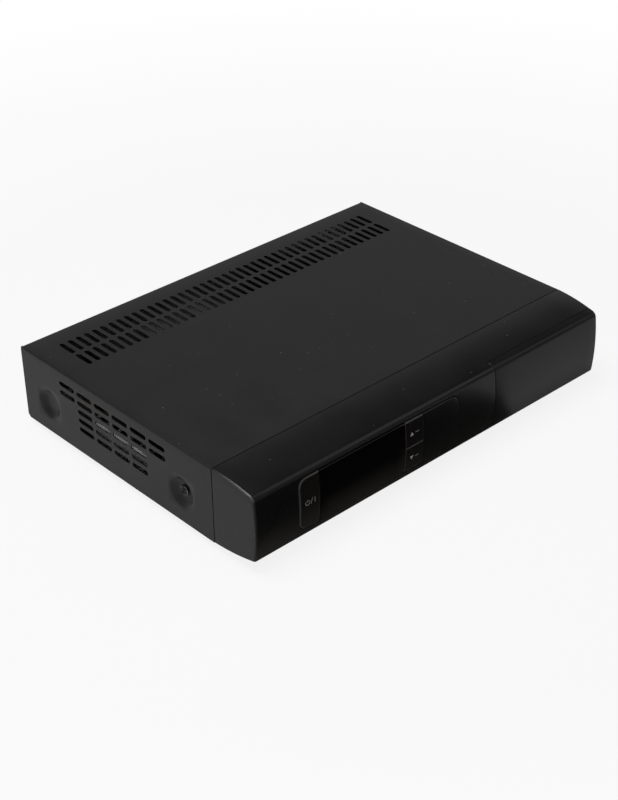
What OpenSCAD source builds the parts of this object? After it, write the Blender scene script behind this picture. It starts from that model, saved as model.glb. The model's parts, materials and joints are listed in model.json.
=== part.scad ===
/* [Case] */
// Width of the sheet-metal cover
body_w = 340; // [332:1:380]
// Depth of the cover, from its rear edge to the bezel
cover_d = 210; // [206:1:240]
// Height of the cover, from its lower edge to its top
cover_h = 59; // [58:1:72]
// Thickness of the cover's sheet
sheet_t = 0.8; // [0.6:0.1:1]
// Outer radius of the cover's folded edges
fold_r = 1.6; // [1.2:0.1:3]
// Height of the lip folded down at the cover's rear edge
lip_h = 9; // [8:0.5:12]
// Cut at the lower rear corner of each cover side
corner_cut = 2.5; // [1:0.5:4]
// Height of the rubber feet below the case
foot_h = 5; // [4:0.5:10]
// Diameter of a rubber foot
foot_d = 18; // [14:1:24]
// Distance of a foot's centre from the side of the case
foot_in_x = 32; // [20:1:50]
// Distance of a foot's centre from the front and rear ends of the floor
foot_in_y = 22; // [18:1:40]

/* [Vents] */
// Width of a vent slot
slot_w = 3.6; // [3:0.2:5]
// Length of a vent slot
slot_l = 17; // [12:0.5:18]
// Distance between slots side by side
slot_pitch = 7.2; // [6.5:0.1:9]
// Distance between slots end to end
slot_row = 20; // [19:0.2:24]
// Least distance of a top slot's centre from the side of the case
top_vent_in = 22.4; // [16:0.2:40]
// Distance of the rear row of top slots from the rear edge
top_vent_rear = 25.6; // [20:0.2:40]
// Depth of the first row of side slots below the top
side_vent_drop = 10.2; // [8:0.1:12]
// Distance of the first column of side slots from the rear edge
side_vent_rear = 54; // [50:0.5:58]

/* [Side dishes] */
// Diameter of a round dish pressed into the cover's sides
dish_d = 24; // [20:0.5:28]
// Depth of a dish
dish_depth = 3.5; // [2.5:0.1:4.5]
// Flat floor of a dish
dish_floor_d = 11; // [9:0.5:14]
// Head diameter of the screw in each front dish
dish_screw_d = 8; // [6:0.5:8.5]
// Depth of the dishes' centres below the top
dish_drop = 35; // [30:0.5:40]
// Distance of the rear dish from the rear edge
rear_dish_in = 30; // [26:0.5:36]
// Distance of the front dish from the bezel
front_dish_in = 32; // [26:0.5:36]

/* [Chassis] */
// Thickness of the chassis and rear panel
chassis_t = 1; // [0.8:0.1:1.5]
// Height of the chassis flanges above its underside
flange_h = 7; // [6.5:0.1:7.4]
// Width of the tabs that take the side screws
tab_w = 22; // [16:1:30]
// Slip clearance between pieces that are put together
fit = 0.2; // [0.1:0.05:0.3]
// Height of the board standoffs
standoff_h = 5; // [4.9:0.1:7]
// Thickness of a circuit board
board_t = 1.6; // [1.6:0.1:2]
// Width of the power board
power_board_w = 84; // [78:1:90]
// Gap between the power board and the main board
board_gap = 6; // [4:0.5:10]
// Gap between the boards' edges and the chassis flanges
board_edge = 2.5; // [2:0.1:4]
// Shank diameter of the machine screws
screw_d = 3; // [2.5:0.1:3.5]
// Head diameter of the machine screws
screw_head_d = 5.6; // [5:0.1:6.4]
// Head height of the machine screws
screw_head_h = 2; // [1.6:0.1:2.4]
// Radial clearance round a screw's shank
screw_fit = 0.05; // [0.05:0.01:0.1]

/* [Bezel] */
// Depth of the bezel in front of the cover
bezel_d = 40.5; // [40:0.5:46]
// Wall of the bezel and the flap
bezel_wall = 2.4; // [2:0.1:2.8]
// Radius of the bezel's gently falling top
top_r = 155; // [140:1:220]
// Radius of the bezel's bowed front
front_r = 160; // [110:1:220]
// Radius of the bezel's rising underside
bottom_r = 165; // [150:1:220]
// Radius of the shoulder between top and front
shoulder_r = 5; // [4:0.5:7]
// Radius of the chin between front and underside
chin_r = 3; // [3:0.2:4]
// Height of the foremost line of the front
front_mid = 27.5; // [24:0.5:30]
// How far each end leans in towards the front
end_taper = 1.6; // [1:0.1:3]
// Radius of the upright front corners
end_r = 5; // [4:0.5:7]
// Gap between the bezel and the cover
seam_gap = 0.3; // [0.2:0.05:0.5]

/* [Front insert] */
// Distance of the insert from the left side of the case
insert_in = 38.5; // [30:0.5:44]
// Width of the whole insert
insert_w = 149.5; // [144:0.5:156]
// Height of the insert's lower edge
insert_low = 10; // [9.5:0.5:11]
// Height of the insert
insert_h = 40; // [38:0.5:41]
// Corner radius of the insert
insert_r = 7; // [5:0.5:9]
// Width of the power key
power_w = 18.2; // [16:0.2:20]
// Width of the display window
window_w = 78.8; // [76:0.2:82]
// Width of the two channel keys
key_w = 16.9; // [15:0.2:20]
// Height of the split between the channel keys
key_split = 29.5; // [27:0.5:32]
// Gap round the pieces of the insert
panel_gap = 0.3; // [0.2:0.05:0.4]
// Travel of the keys
key_travel = 0.7; // [0.5:0.05:0.9]
// Depth of the ledge behind the insert, from the seam
ledge_in = 34.5; // [34:0.1:35]
// Thickness of the ledge
ledge_t = 2; // [1.6:0.1:2.2]

/* [Flap] */
// Distance of the flap's upright seam from the right side of the case
flap_w = 114; // [110:0.5:118]
// Distance of the flap's upper seam in front of the cover
flap_back = 31; // [30:0.5:32]
// Gap round the flap
flap_gap = 0.3; // [0.2:0.05:0.4]
// Distance of the hinge line in front of the cover
hinge_in = 33.5; // [33:0.1:34]
// Height of the hinge line
hinge_up = 9.3; // [9:0.1:10]
// Diameter of the hinge pins
pin_d = 2.5; // [2:0.1:2.8]
// Radial clearance of the hinge pins in the flap
pin_fit = 0.05; // [0.03:0.01:0.08]
// Distance of the recess wall behind the flap in front of the cover
recess_in = 24; // [23:0.5:25]
// Thickness of the recess wall
recess_t = 2; // [1.6:0.1:2.4]

/* [Card bay] */
// Width of a plug-in card's slot
card_slot_w = 55; // [54:0.5:58]
// Height of a plug-in card's slot
card_slot_h = 6; // [5.5:0.1:6.5]
// Distance between the two card slots
card_pitch = 11; // [10:0.5:12]
// Wall of the card cage
cage_wall = 3; // [2.5:0.1:3.5]
// Length of the card cage behind the seam
cage_back = 78; // [70:1:90]

/* [Sockets] */
// How far the aerial sockets stand out behind the cover
aerial_reach = 10; // [8:0.5:14]
// Thread diameter of the aerial sockets
aerial_d = 9.5; // [9:0.1:10]
// How far the phono jacks stand out behind the cover
phono_reach = 8; // [7:0.5:8]
// Diameter of a phono jack's sleeve
phono_d = 8.3; // [8:0.1:8.6]
// Distance between phono jacks
phono_pitch = 13; // [12.5:0.1:14]
// Tilt of the mains rocker to either side
rocker_tilt = 9; // [7:0.5:10]

/* [Hidden] */
$fn = 48;
eps = 0.01;
half = body_w / 2;
total_d = bezel_d + cover_d + aerial_reach;
seam_y = bezel_d - total_d / 2;
wall_x = half - sheet_t;
flange_x = half - dish_depth - sheet_t;
panel_y = cover_d - sheet_t;
board_z = chassis_t + standoff_h;
deck_z = board_z + board_t;
tab_h = cover_h - dish_drop + dish_floor_d / 2 + 2;
screw_r = screw_d / 2;
hole_r = screw_r + screw_fit;

power_x0 = -(flange_x - chassis_t - board_edge);
power_x1 = power_x0 + power_board_w;
power_y0 = 26;
power_y1 = panel_y - 2 * chassis_t - 16;
main_x0 = power_x1 + board_gap;
main_x1 = flange_x - chassis_t - board_edge;
main_y0 = 8;
main_y1 = panel_y - 2 * chassis_t - fit;

insert_x = insert_in - half;
power_key_x1 = insert_x + power_w;
window_x1 = power_key_x1 + window_w;
keys_x1 = window_x1 + key_w;
insert_x1 = insert_x + insert_w;
insert_top = insert_low + insert_h;
window_mid = (power_key_x1 + window_x1) / 2;
key_mid = (window_x1 + keys_x1) / 2;
key_stem = 6;
key_collar = 9;
stem_back = ledge_in - ledge_t - fit - 1;
switch_y = -(stem_back - key_travel - 0.15);
front_board_y = switch_y + 4.5;
key_places = [[(insert_x + power_key_x1) / 2 + 1, insert_low + insert_h / 2],
    [key_mid, (key_split + insert_top) / 2], [key_mid, (insert_low + key_split) / 2]];
front_board_screw_x = [insert_x + 4, keys_x1 + 8];
front_board_screw_z = [insert_low + 4, insert_top - 4];

flap_x = half - flap_w;
hinge_y = -hinge_in;
disc_r = 7.5;
lug_t = 2.5;
lug_r = 3.2;
ear_x1 = half - end_taper - bezel_wall - lug_t - 2;
ear_x0 = ear_x1 - 3;
catch_x = flap_x + 70;
catch_z = cover_h - 17;
catch_w = 12;
catch_h = 5;
catch_wall = 1.5;
leg_w = 5;
leg_h = 2.5;
keeper_w = catch_w - 2;
catch_back = recess_in + 5;

cage_x = flap_x + 40;
cage_w = card_slot_w + 2 * cage_wall;
cage_h = card_pitch + card_slot_h + 2 * cage_wall;
cage_front = recess_in + 1;
card_slot_z = [deck_z + cage_wall, deck_z + cage_wall + card_pitch];
front_usb_x = flap_x + 86;

inlet_x = power_x0 + 22;
switch_x = power_x0 + 52;
mains_z = cover_h / 2 - 4;
tuner_x = main_x1 - 16;
tuner_w = 32;
tuner_h = 16;
tuner_l = 55;
aerial_pitch = 16;
aerial_x = [tuner_x - aerial_pitch / 2, tuner_x + aerial_pitch / 2];
aerial_z = deck_z + tuner_h / 2;
aerial_collar_d = 12;
aerial_relief = 0.5;
aerial_bore_d = 3.2;
scart_x = tuner_x - 45;
scart_w = 50;
scart_h = 16;
scart_row = 18;
contact_pitch = 3.9;
phono_x = scart_x - 43;
phono_low = deck_z + phono_pitch / 2;
optical_x = phono_x - 23;
hdmi_x = optical_x - 17;
network_x = hdmi_x - 19;
usb_x = network_x - 18;
serial_x = usb_x - 26;
rear_screw_x = [-half + 10, switch_x + 22, scart_x + scart_w / 2 + 3.5, half - 10];
lip_screw_x = [-half + 40, 0, half - 40];
lip_screw_z = cover_h - lip_h / 2 - 0.5;
foot_places = [for (sx = [-1, 1], y = [foot_in_y, panel_y - foot_in_y]) [sx * (half - foot_in_x), y]];
power_holes = [for (x = [power_x0 + 5, power_x1 - 5], y = [power_y0 + 5, power_y1 - 5]) [x, y]];
main_holes = [for (x = [main_x0 + 6, main_x1 - 6], y = [main_y0 + 5, main_y1 - tuner_l - 10]) [x, y]];
bezel_screw_x = [-half + 24, 0, half - 24];
bezel_screw_z = 4.2;
boss_r = 3;
bezel_boss_l = 14;
front_flange_y = 2;
flange_screw_r = 2.5;
flange_screw_z = flange_h / 2 + 0.4;
foot_floor = 1.5;
// Side view of the ribbon from the front board to the main board: depth, height
ribbon_route = [[front_board_y + board_t, 26], [4, 26], [11, 22], [15, 14], [15, deck_z]];
ribbon_w = 24;
ribbon_t = 1;

// Points on an arc round c, from angle a0 to a1
function arc(c, r, a0, a1, n = 8) =
    [for (i = [0:n]) let (a = a0 + (a1 - a0) * i / n) c + r * [cos(a), sin(a)]];
// Crossing of two circles, to the left (1) or right (-1) of the line between their centres
function crossing(c1, r1, c2, r2, side) =
    let (d = norm(c2 - c1), a = (r1 * r1 - r2 * r2 + d * d) / (2 * d), u = (c2 - c1) / d)
    c1 + a * u + side * sqrt(r1 * r1 - a * a) * [-u[1], u[0]];
function bearing(a, b) = (atan2(b[1] - a[1], b[0] - a[0]) + 360) % 360;

// Side view of the bezel, depth and height, moved in by inset and open at the back
function bezel_outline(inset, back) =
    let (top_c = [0, cover_h - top_r], front_c = [front_r - bezel_d, front_mid], low_c = [0, bottom_r],
        shoulder_c = crossing(top_c, top_r - shoulder_r, front_c, front_r - shoulder_r, 1),
        chin_c = crossing(low_c, bottom_r - chin_r, front_c, front_r - chin_r, -1),
        a1 = bearing(top_c, shoulder_c), a2 = bearing(front_c, shoulder_c),
        a3 = bearing(front_c, chin_c), a4 = bearing(low_c, chin_c))
    concat([[back, cover_h - inset]], arc(top_c, top_r - inset, 90, a1),
        arc(shoulder_c, max(shoulder_r - inset, eps), a1, a2),
        arc(front_c, front_r - inset, a2, a3), arc(chin_c, max(chin_r - inset, eps), a3, a4),
        arc(low_c, bottom_r - inset, a4, 270), [[back, inset]]);
// Plan of the bezel, moved in by inset and open at the back
function bezel_plan(inset, back) =
    let (x = half - end_taper - end_r, y = end_r - bezel_d, lean = atan(end_taper / bezel_d))
    concat([[-half + inset, back], [-half + inset, -seam_gap]],
        arc([-x, y], end_r - inset, 180 + lean, 270),
        arc([x, y], end_r - inset, 270, 360 - lean), [[half - inset, -seam_gap], [half - inset, back]]);
// Outline of a strip of thickness t along a route of points
function turn_normal(route, i) =
    let (a = route[max(i - 1, 0)], b = route[i], c = route[min(i + 1, len(route) - 1)],
        u = (b - a) / max(norm(b - a), eps), v = (c - b) / max(norm(c - b), eps), w = u + v)
    [-w[1], w[0]] / norm(w);
function strip(route, t) = concat([for (i = [0:len(route) - 1]) route[i] + turn_normal(route, i) * t / 2],
    [for (i = [len(route) - 1:-1:0]) route[i] - turn_normal(route, i) * t / 2]);

module in_case() {
    translate([0, seam_y, foot_h]) children();
}

module block(low, high) {
    translate(low) cube(high - low);
}

// A flat shape of x and height, made solid from y to y + l
module upright(y, l) {
    translate([0, y + l, 0]) rotate([90, 0, 0]) linear_extrude(l) children();
}

// A flat shape of depth and height, made solid from x to x + l
module across(x, l) {
    translate([x, 0, 0]) rotate([90, 0, 90]) linear_extrude(l) children();
}

module slot_shape(l, w) {
    square([l - w, w], center = true);
    for (s = [-1, 1]) translate([s * (l - w) / 2, 0]) circle(d = w);
}

module rounded(w, h, r) {
    translate([r, 0]) square([w - 2 * r, h]);
    translate([0, r]) square([w, h - 2 * r]);
    for (x = [r, w - r], y = [r, h - r]) translate([x, y]) circle(r);
}

// A cross-head screw standing on z = 0 with its shank below
module screw(shank_l, head_r = screw_head_d / 2, head_h = screw_head_h) {
    difference() {
        cylinder(r = head_r, h = head_h);
        for (a = [0, 90]) rotate(a) translate([-head_r * 0.6, -head_r * 0.14, head_h * 0.45])
            cube([head_r * 1.2, head_r * 0.28, head_h]);
    }
    translate([0, 0, -shank_l]) cylinder(r = screw_r, h = shank_l + eps);
}

module facing_rear() {
    rotate([-90, 0, 0]) children();
}

module facing_side(s) {
    rotate([0, s * 90, 0]) children();
}

module top_slots() {
    n = floor((body_w - 2 * top_vent_in) / slot_pitch + eps);
    for (row = [0, 1], i = [0:n])
        translate([(i - n / 2) * slot_pitch, cover_d - top_vent_rear - row * slot_row])
            rotate(90) slot_shape(slot_l, slot_w);
}

// Six columns in the two upper rows and the middle four in the three below
module side_slots() {
    for (row = [0:4], column = [(row < 2 ? 0 : 1):(row < 2 ? 5 : 4)])
        translate([cover_d - side_vent_rear - column * slot_row,
            cover_h - side_vent_drop - row * slot_pitch]) slot_shape(slot_l, slot_w);
}

dish_places = [front_dish_in, cover_d - rear_dish_in];

// A dish with its rim at z = 0, bored for a screw where bore is above 0
module dish(bore) {
    r0 = dish_floor_d / 2;
    r1 = dish_d / 2;
    rotate_extrude() polygon([[bore, -dish_depth], [r0, -dish_depth], [r1, 0], [r1, -sheet_t],
        [r0, -dish_depth - sheet_t], [bore, -dish_depth - sheet_t]]);
}

module fold_shape() {
    intersection() {
        difference() {
            circle(fold_r);
            circle(fold_r - sheet_t);
        }
        square(fold_r);
    }
}

module top_cover() color([0.17, 0.17, 0.18]) in_case() {
    translate([0, 0, cover_h - sheet_t]) linear_extrude(sheet_t) difference() {
        translate([fold_r - half, 0]) square([body_w - 2 * fold_r, cover_d - fold_r]);
        top_slots();
    }
    for (s = [-1, 1]) {
        across(s > 0 ? wall_x : -half, sheet_t) difference() {
            polygon([[0, 0], [cover_d - corner_cut, 0], [cover_d, corner_cut], [cover_d, cover_h - fold_r],
                [0, cover_h - fold_r]]);
            side_slots();
            for (y = dish_places) translate([y, cover_h - dish_drop]) circle(d = dish_d);
        }
        for (i = [0, 1]) translate([s * half, dish_places[i], cover_h - dish_drop])
            facing_side(s) dish(i == 0 ? hole_r : 0);
        upright(0, cover_d) translate([s * (half - fold_r), cover_h - fold_r]) scale([s, 1]) fold_shape();
    }
    across(fold_r - half, body_w - 2 * fold_r) translate([cover_d - fold_r, cover_h - fold_r]) fold_shape();
    upright(panel_y, sheet_t) difference() {
        translate([fold_r - half, cover_h - lip_h]) square([body_w - 2 * fold_r, lip_h - fold_r]);
        for (x = lip_screw_x) translate([x, lip_screw_z]) circle(hole_r);
    }
}

module cover_side_screws() color([0.13, 0.13, 0.14]) in_case() {
    for (s = [-1, 1]) translate([s * (half - dish_depth), front_dish_in, cover_h - dish_drop])
        facing_side(s) screw(sheet_t + chassis_t + 3, dish_screw_d / 2);
}

module cover_rear_screws() color([0.13, 0.13, 0.14]) in_case() {
    for (x = lip_screw_x) translate([x, cover_d, lip_screw_z]) facing_rear() screw(sheet_t + chassis_t + 3);
}

module rear_panel_screws() color([0.6, 0.6, 0.6]) in_case() {
    for (x = rear_screw_x) translate([x, panel_y, flange_screw_z]) facing_rear()
        screw(2 * chassis_t + 3, flange_screw_r);
}

module base_chassis() color([0.62, 0.63, 0.64]) in_case() {
    edge_x = wall_x - fit;
    rear_y = panel_y - chassis_t;
    linear_extrude(chassis_t) difference() {
        translate([-edge_x, fit]) square([2 * edge_x, rear_y - fit]);
        for (p = foot_places) translate(p) circle(hole_r);
    }
    difference() {
        union() {
            block([-flange_x, front_flange_y, 0], [flange_x, front_flange_y + chassis_t, flange_h]);
            block([-flange_x, rear_y - chassis_t, 0], [flange_x, rear_y, flange_h]);
        }
        for (x = bezel_screw_x) translate([x, 0, bezel_screw_z]) facing_rear() cylinder(r = hole_r, h = 10);
        for (x = rear_screw_x) translate([x, rear_y - 5, flange_screw_z]) facing_rear()
            cylinder(r = hole_r, h = 10);
    }
    for (s = [-1, 1]) difference() {
        union() {
            across(s > 0 ? flange_x - chassis_t : -flange_x, chassis_t) {
                translate([front_flange_y, 0]) square([rear_y - front_flange_y, flange_h]);
                for (y = dish_places) translate([y - tab_w / 2, 0]) square([tab_w, tab_h]);
            }
        }
        translate([s * half, front_dish_in, cover_h - dish_drop]) facing_side(s)
            translate([0, 0, -10]) cylinder(r = hole_r, h = 20);
    }
}

module rubber_feet() color([0.05, 0.05, 0.05]) in_case() {
    for (p = foot_places) translate([p[0], p[1], -foot_h]) difference() {
        cylinder(d = foot_d, h = foot_h);
        translate([0, 0, -eps]) cylinder(d = foot_d / 2, h = foot_h - foot_floor + eps);
        cylinder(r = hole_r, h = foot_h + eps);
    }
}

module foot_screws() color([0.6, 0.6, 0.6]) in_case() {
    for (p = foot_places) translate([p[0], p[1], -foot_floor]) rotate([180, 0, 0])
        screw(foot_floor + chassis_t + 1.5);
}

module bezel_screws() color([0.6, 0.6, 0.6]) in_case() {
    for (x = bezel_screw_x) translate([x, front_flange_y + chassis_t, bezel_screw_z]) facing_rear()
        screw(chassis_t + 8, flange_screw_r);
}

// Body of the bezel's outer form, moved in by inset
module bezel_form(inset, back) {
    intersection() {
        across(-half, body_w) polygon(bezel_outline(inset, back));
        translate([0, 0, -1]) linear_extrude(cover_h + 2) polygon(bezel_plan(inset, back));
    }
}

module bezel_shell() {
    difference() {
        bezel_form(0, -seam_gap);
        bezel_form(bezel_wall, 1);
    }
}

module insert_shape(grow) {
    translate([insert_x - grow, insert_low - grow])
        rounded(insert_w + 2 * grow, insert_h + 2 * grow, insert_r + grow);
}

// Space that the flap takes out of the bezel, larger by gap all round
module flap_space(gap) {
    block([flap_x - gap, -bezel_d - 1, -1], [half + 1, gap - flap_back, cover_h + 1]);
    hinge_rod(half - end_taper - bezel_wall - 2, disc_r + gap, bezel_wall + end_taper + 4);
}

module front_bezel() color([0.11, 0.11, 0.115]) in_case() {
    inner_x = half - bezel_wall;
    difference() {
        union() {
            difference() {
                bezel_shell();
                flap_space(0);
                block([flap_x, -flap_back - eps, -1], [inner_x - end_taper, -recess_in - 2, hinge_up]);
            }
            intersection() {
                bezel_form(eps, -seam_gap);
                upright(-bezel_d - 1, bezel_d + 1 - ledge_in + ledge_t) insert_shape(bezel_wall);
            }
            for (x = bezel_screw_x) translate([x, -bezel_boss_l, bezel_screw_z]) facing_rear()
                cylinder(r = boss_r, h = bezel_boss_l + front_flange_y);
            for (x = front_board_screw_x, z = front_board_screw_z) translate([x, ledge_t - ledge_in, z])
                facing_rear() translate([0, 0, -eps])
                    cylinder(r = boss_r, h = front_board_y + ledge_in - ledge_t + eps);
        }
        upright(-bezel_d - 1, bezel_d + 1 - ledge_in) insert_shape(0);
        ledge_holes();
        for (x = bezel_screw_x) translate([x, -10, bezel_screw_z]) facing_rear()
            cylinder(r = hole_r, h = 20);
        for (x = front_board_screw_x, z = front_board_screw_z) translate([x, front_board_y - 5, z])
            facing_rear() cylinder(r = hole_r, h = 10);
    }
}

// Moulding behind the flap: it seats in the bezel, and its legs reach back to the chassis
module flap_frame() color([0.1, 0.1, 0.105]) in_case() {
    wall_back = -recess_in + recess_t;
    difference() {
        union() {
            intersection() {
                bezel_form(bezel_wall + fit, -seam_gap);
                union() {
                    block([flap_x - bezel_wall, -bezel_d, 0], [flap_x, wall_back, cover_h]);
                    block([flap_x - bezel_wall, -recess_in, 0], [half, wall_back, cover_h]);
                }
            }
            for (x = [flap_x, cage_x + cage_w / 2 + 2]) block([x, wall_back - eps, flange_h - leg_h],
                [x + leg_w, front_flange_y - fit, flange_h]);
            hinge_ear();
            upright(-catch_back, catch_back - recess_in + eps) translate([catch_x, catch_z + catch_h / 2])
                difference() {
                    square([catch_w, catch_h] + 2 * [catch_wall, catch_wall], center = true);
                    square([catch_w, catch_h] + [fit, fit], center = true);
                }
        }
        hinge_pin_holes();
        block([cage_x - cage_w / 2 - fit, -recess_in - 1, deck_z - fit],
            [cage_x + cage_w / 2 + fit, wall_back + 1, deck_z + cage_h + fit]);
        block([front_usb_x - usb_w / 2 - fit, -recess_in - 1, deck_z - fit],
            [front_usb_x + usb_w / 2 + fit, wall_back + 1, deck_z + usb_h + fit]);
    }
}

// Cuts in the ledge for the display, the remote-control eye and the keys' stems
module ledge_holes() {
    upright(-ledge_in - eps, ledge_t + 2 * eps) {
        translate([window_mid - display_w / 2 - 1, display_low - 1]) square([display_w + 2, display_h + 2]);
        translate([eye_x, eye_z]) circle(r = 3.5);
        for (p = key_places) translate(p) square(key_stem + 2 * fit, center = true);
    }
}

// Arm that carries the right hinge pin, rising at 45 degrees clear of the flap's lower lip
module hinge_ear() {
    reach = (hinge_in - recess_in) / cos(45);
    translate([ear_x0, hinge_y, hinge_up]) across(0, ear_x1 - ear_x0) {
        circle(r = 2.1);
        intersection() {
            rotate(45) translate([0, -2]) square([reach + 4, 4]);
            translate([-5, -5]) square([hinge_in - recess_in + 5 + eps, 30]);
        }
    }
}

// A rod on the flap's hinge line, from x to x + l
module hinge_rod(x, r, l) {
    translate([x, hinge_y, hinge_up]) facing_side(1) cylinder(r = r, h = l);
}

module hinge_pin_holes() {
    hinge_rod(flap_x - bezel_wall - 1, pin_d / 2, bezel_wall + 2);
    hinge_rod(ear_x0 - 1, pin_d / 2, ear_x1 - ear_x0 + 2);
}

module flap_hinge_pins() color([0.7, 0.7, 0.72]) in_case() {
    hinge_rod(flap_x - bezel_wall, pin_d / 2, bezel_wall + flap_gap + lug_t);
    hinge_rod(ear_x0, pin_d / 2, ear_x1 - ear_x0 + flap_gap + lug_t);
}

module flap_door() color([0.15, 0.15, 0.155]) in_case() {
    inner_x = half - end_taper - bezel_wall;
    left = flap_x + flap_gap;
    lip_end = 0.5 - hinge_in;
    difference() {
        union() {
            intersection() {
                bezel_shell();
                union() {
                    block([left, -bezel_d - 1, -1], [half + 1, -flap_back - flap_gap, cover_h + 1]);
                    hinge_rod(inner_x, disc_r - flap_gap, bezel_wall + end_taper + 4);
                }
            }
            intersection() {
                bezel_form(eps, -seam_gap);
                union() {
                    block([left, -bezel_d - 1, 0], [left + lug_t, -flap_back - flap_gap, cover_h]);
                    hinge_rod(ear_x1 + flap_gap, lug_r, lug_t + 2 + bezel_wall);
                    block([catch_x - keeper_w / 2, -bezel_d, catch_z],
                        [catch_x + keeper_w / 2, -catch_back - 1, catch_z + catch_h]);
                }
            }
        }
        block([left + lug_t, lip_end, -1], [ear_x1 + flap_gap, 0, hinge_up - 3.4]);
        hinge_rod(left - 1, pin_d / 2 + pin_fit, lug_t + 2);
        hinge_rod(ear_x1, pin_d / 2 + pin_fit, lug_t + 1);
    }
}

module flap_magnet() color([0.25, 0.25, 0.27]) in_case() {
    block([catch_x - catch_w / 2, -catch_back, catch_z],
        [catch_x + catch_w / 2, -recess_in, catch_z + catch_h]);
}

module flap_keeper() color([0.75, 0.75, 0.76]) in_case() {
    block([catch_x - keeper_w / 2, -catch_back - 1, catch_z],
        [catch_x + keeper_w / 2, -catch_back - fit, catch_z + catch_h]);
}

// One cell of the insert from x0 to x1 and z0 to z1, from the bowed front to the depth back
module insert_cell(x0, x1, z0, z1, back) {
    intersection() {
        across(-half, body_w) polygon(bezel_outline(0.1, -seam_gap));
        upright(-bezel_d - 1, bezel_d + 1 - back) intersection() {
            insert_shape(-panel_gap);
            translate([x0, z0] + [panel_gap, panel_gap] / 2)
                square([x1 - x0, z1 - z0] - [panel_gap, panel_gap]);
        }
    }
}

module display_window() color([0.03, 0.02, 0.025]) in_case() {
    insert_cell(power_key_x1, window_x1, insert_low - 1, insert_top + 1, ledge_in);
}

module infill_panel() color([0.1, 0.1, 0.105]) in_case() {
    insert_cell(keys_x1, insert_x1 + 1, insert_low - 1, insert_top + 1, ledge_in);
}

// A key: its cap, a stem through the ledge and a snap collar behind it
module front_key(x0, x1, z0, z1, place) {
    insert_cell(x0, x1, z0, z1, ledge_in + key_travel + 0.5);
    upright(-ledge_in - key_travel - 0.6, ledge_in + key_travel + 0.6 - stem_back) translate(place)
        square(key_stem, center = true);
    upright(-stem_back - 1, 1) translate(place) square(key_collar, center = true);
}

module power_button() color([0.1, 0.085, 0.085]) in_case() {
    front_key(insert_x - 1, power_key_x1, insert_low - 1, insert_top + 1, key_places[0]);
}

module channel_up_button() color([0.1, 0.085, 0.085]) in_case() {
    front_key(window_x1, keys_x1, key_split, insert_top + 1, key_places[1]);
}

module channel_down_button() color([0.1, 0.085, 0.085]) in_case() {
    front_key(window_x1, keys_x1, insert_low - 1, key_split, key_places[2]);
}

display_w = 66;
display_h = 18;
display_low = insert_low + 12;
eye_x = window_x1 - 9;
eye_z = insert_low + 6;

module front_board() color([0.1, 0.3, 0.14]) in_case() {
    upright(front_board_y, board_t) difference() {
        translate([insert_x, insert_low]) square([keys_x1 + 14 - insert_x, insert_h]);
        for (x = front_board_screw_x, z = front_board_screw_z) translate([x, z]) circle(hole_r);
    }
}

module front_board_screws() color([0.6, 0.6, 0.6]) in_case() {
    for (x = front_board_screw_x, z = front_board_screw_z) translate([x, front_board_y + board_t, z])
        facing_rear() screw(board_t + 4);
}

module display_module() color([0.2, 0.24, 0.26]) in_case() {
    x0 = window_mid - display_w / 2;
    difference() {
        block([x0, ledge_t - ledge_in - 1.5, display_low],
            [x0 + display_w, front_board_y, display_low + display_h]);
        block([x0 + 2, -ledge_in - 2, display_low + 2],
            [x0 + display_w - 2, ledge_t - ledge_in - 1, display_low + display_h - 2]);
    }
}

module tact_switches() color([0.08, 0.08, 0.09]) in_case() {
    for (p = key_places) translate([p[0], switch_y, p[1]]) facing_rear() {
        cylinder(r = 1.75, h = 1.5);
        translate([-3, -3, 1]) cube([6, 6, front_board_y - switch_y - 1]);
    }
}

module infrared_receiver() color([0.04, 0.04, 0.05]) in_case() {
    translate([eye_x, front_board_y, eye_z]) {
        block([-3, -3.5, -3.5], [3, 0, 3.5]);
        rotate([90, 0, 0]) cylinder(r = 2.5, h = 5);
    }
}

module board_standoffs() color([0.72, 0.72, 0.7]) in_case() {
    for (p = concat(power_holes, main_holes)) translate([p[0], p[1], chassis_t]) difference() {
        cylinder(r = 3, h = standoff_h);
        cylinder(r = hole_r, h = standoff_h + eps);
    }
}

module board_screws() color([0.6, 0.6, 0.6]) in_case() {
    for (p = concat(power_holes, main_holes)) translate([p[0], p[1], deck_z]) screw(board_t + 3);
}

module board(x0, x1, y0, y1, holes) {
    translate([0, 0, board_z]) linear_extrude(board_t) difference() {
        translate([x0, y0]) square([x1 - x0, y1 - y0]);
        for (p = holes) translate(p) circle(hole_r);
    }
}

module main_board() color([0.09, 0.3, 0.15]) in_case() {
    board(main_x0, main_x1, main_y0, main_y1, main_holes);
}

module power_board() color([0.55, 0.42, 0.2]) in_case() {
    board(power_x0, power_x1, power_y0, power_y1, power_holes);
}

sink_x = 90;
sink_y = 95;
sink_size = 38;
sink_base = 4;
sink_fin_t = 1.5;
sink_fin_h = 12;
sink_gaps = 7;

module processor_heat_sink() color([0.35, 0.35, 0.37]) in_case() {
    translate([main_x0 + sink_x, main_y0 + sink_y, deck_z]) {
        cube([sink_size, sink_size, sink_base]);
        for (i = [0:sink_gaps]) translate([i * (sink_size - sink_fin_t) / sink_gaps, 0, sink_base - eps])
            cube([sink_fin_t, sink_size, sink_fin_h]);
    }
}

chip_x = 22;
chip_y = 90;
chip_pitch = 22;
chip_w = 16;
chip_d = 12;
chip_t = 1.5;
audio_chip_x = 140;

// Four memory chips in a square and one chip near the tuner
module board_chips() color([0.06, 0.06, 0.065]) in_case() {
    places = concat([for (i = [0, 1], j = [0, 1]) [chip_x + i * chip_pitch, chip_y + j * chip_pitch]],
        [[audio_chip_x, chip_y + chip_pitch]]);
    for (p = places) translate([main_x0 + p[0], main_y0 + p[1], deck_z]) cube([chip_w, chip_d, chip_t]);
}

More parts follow.
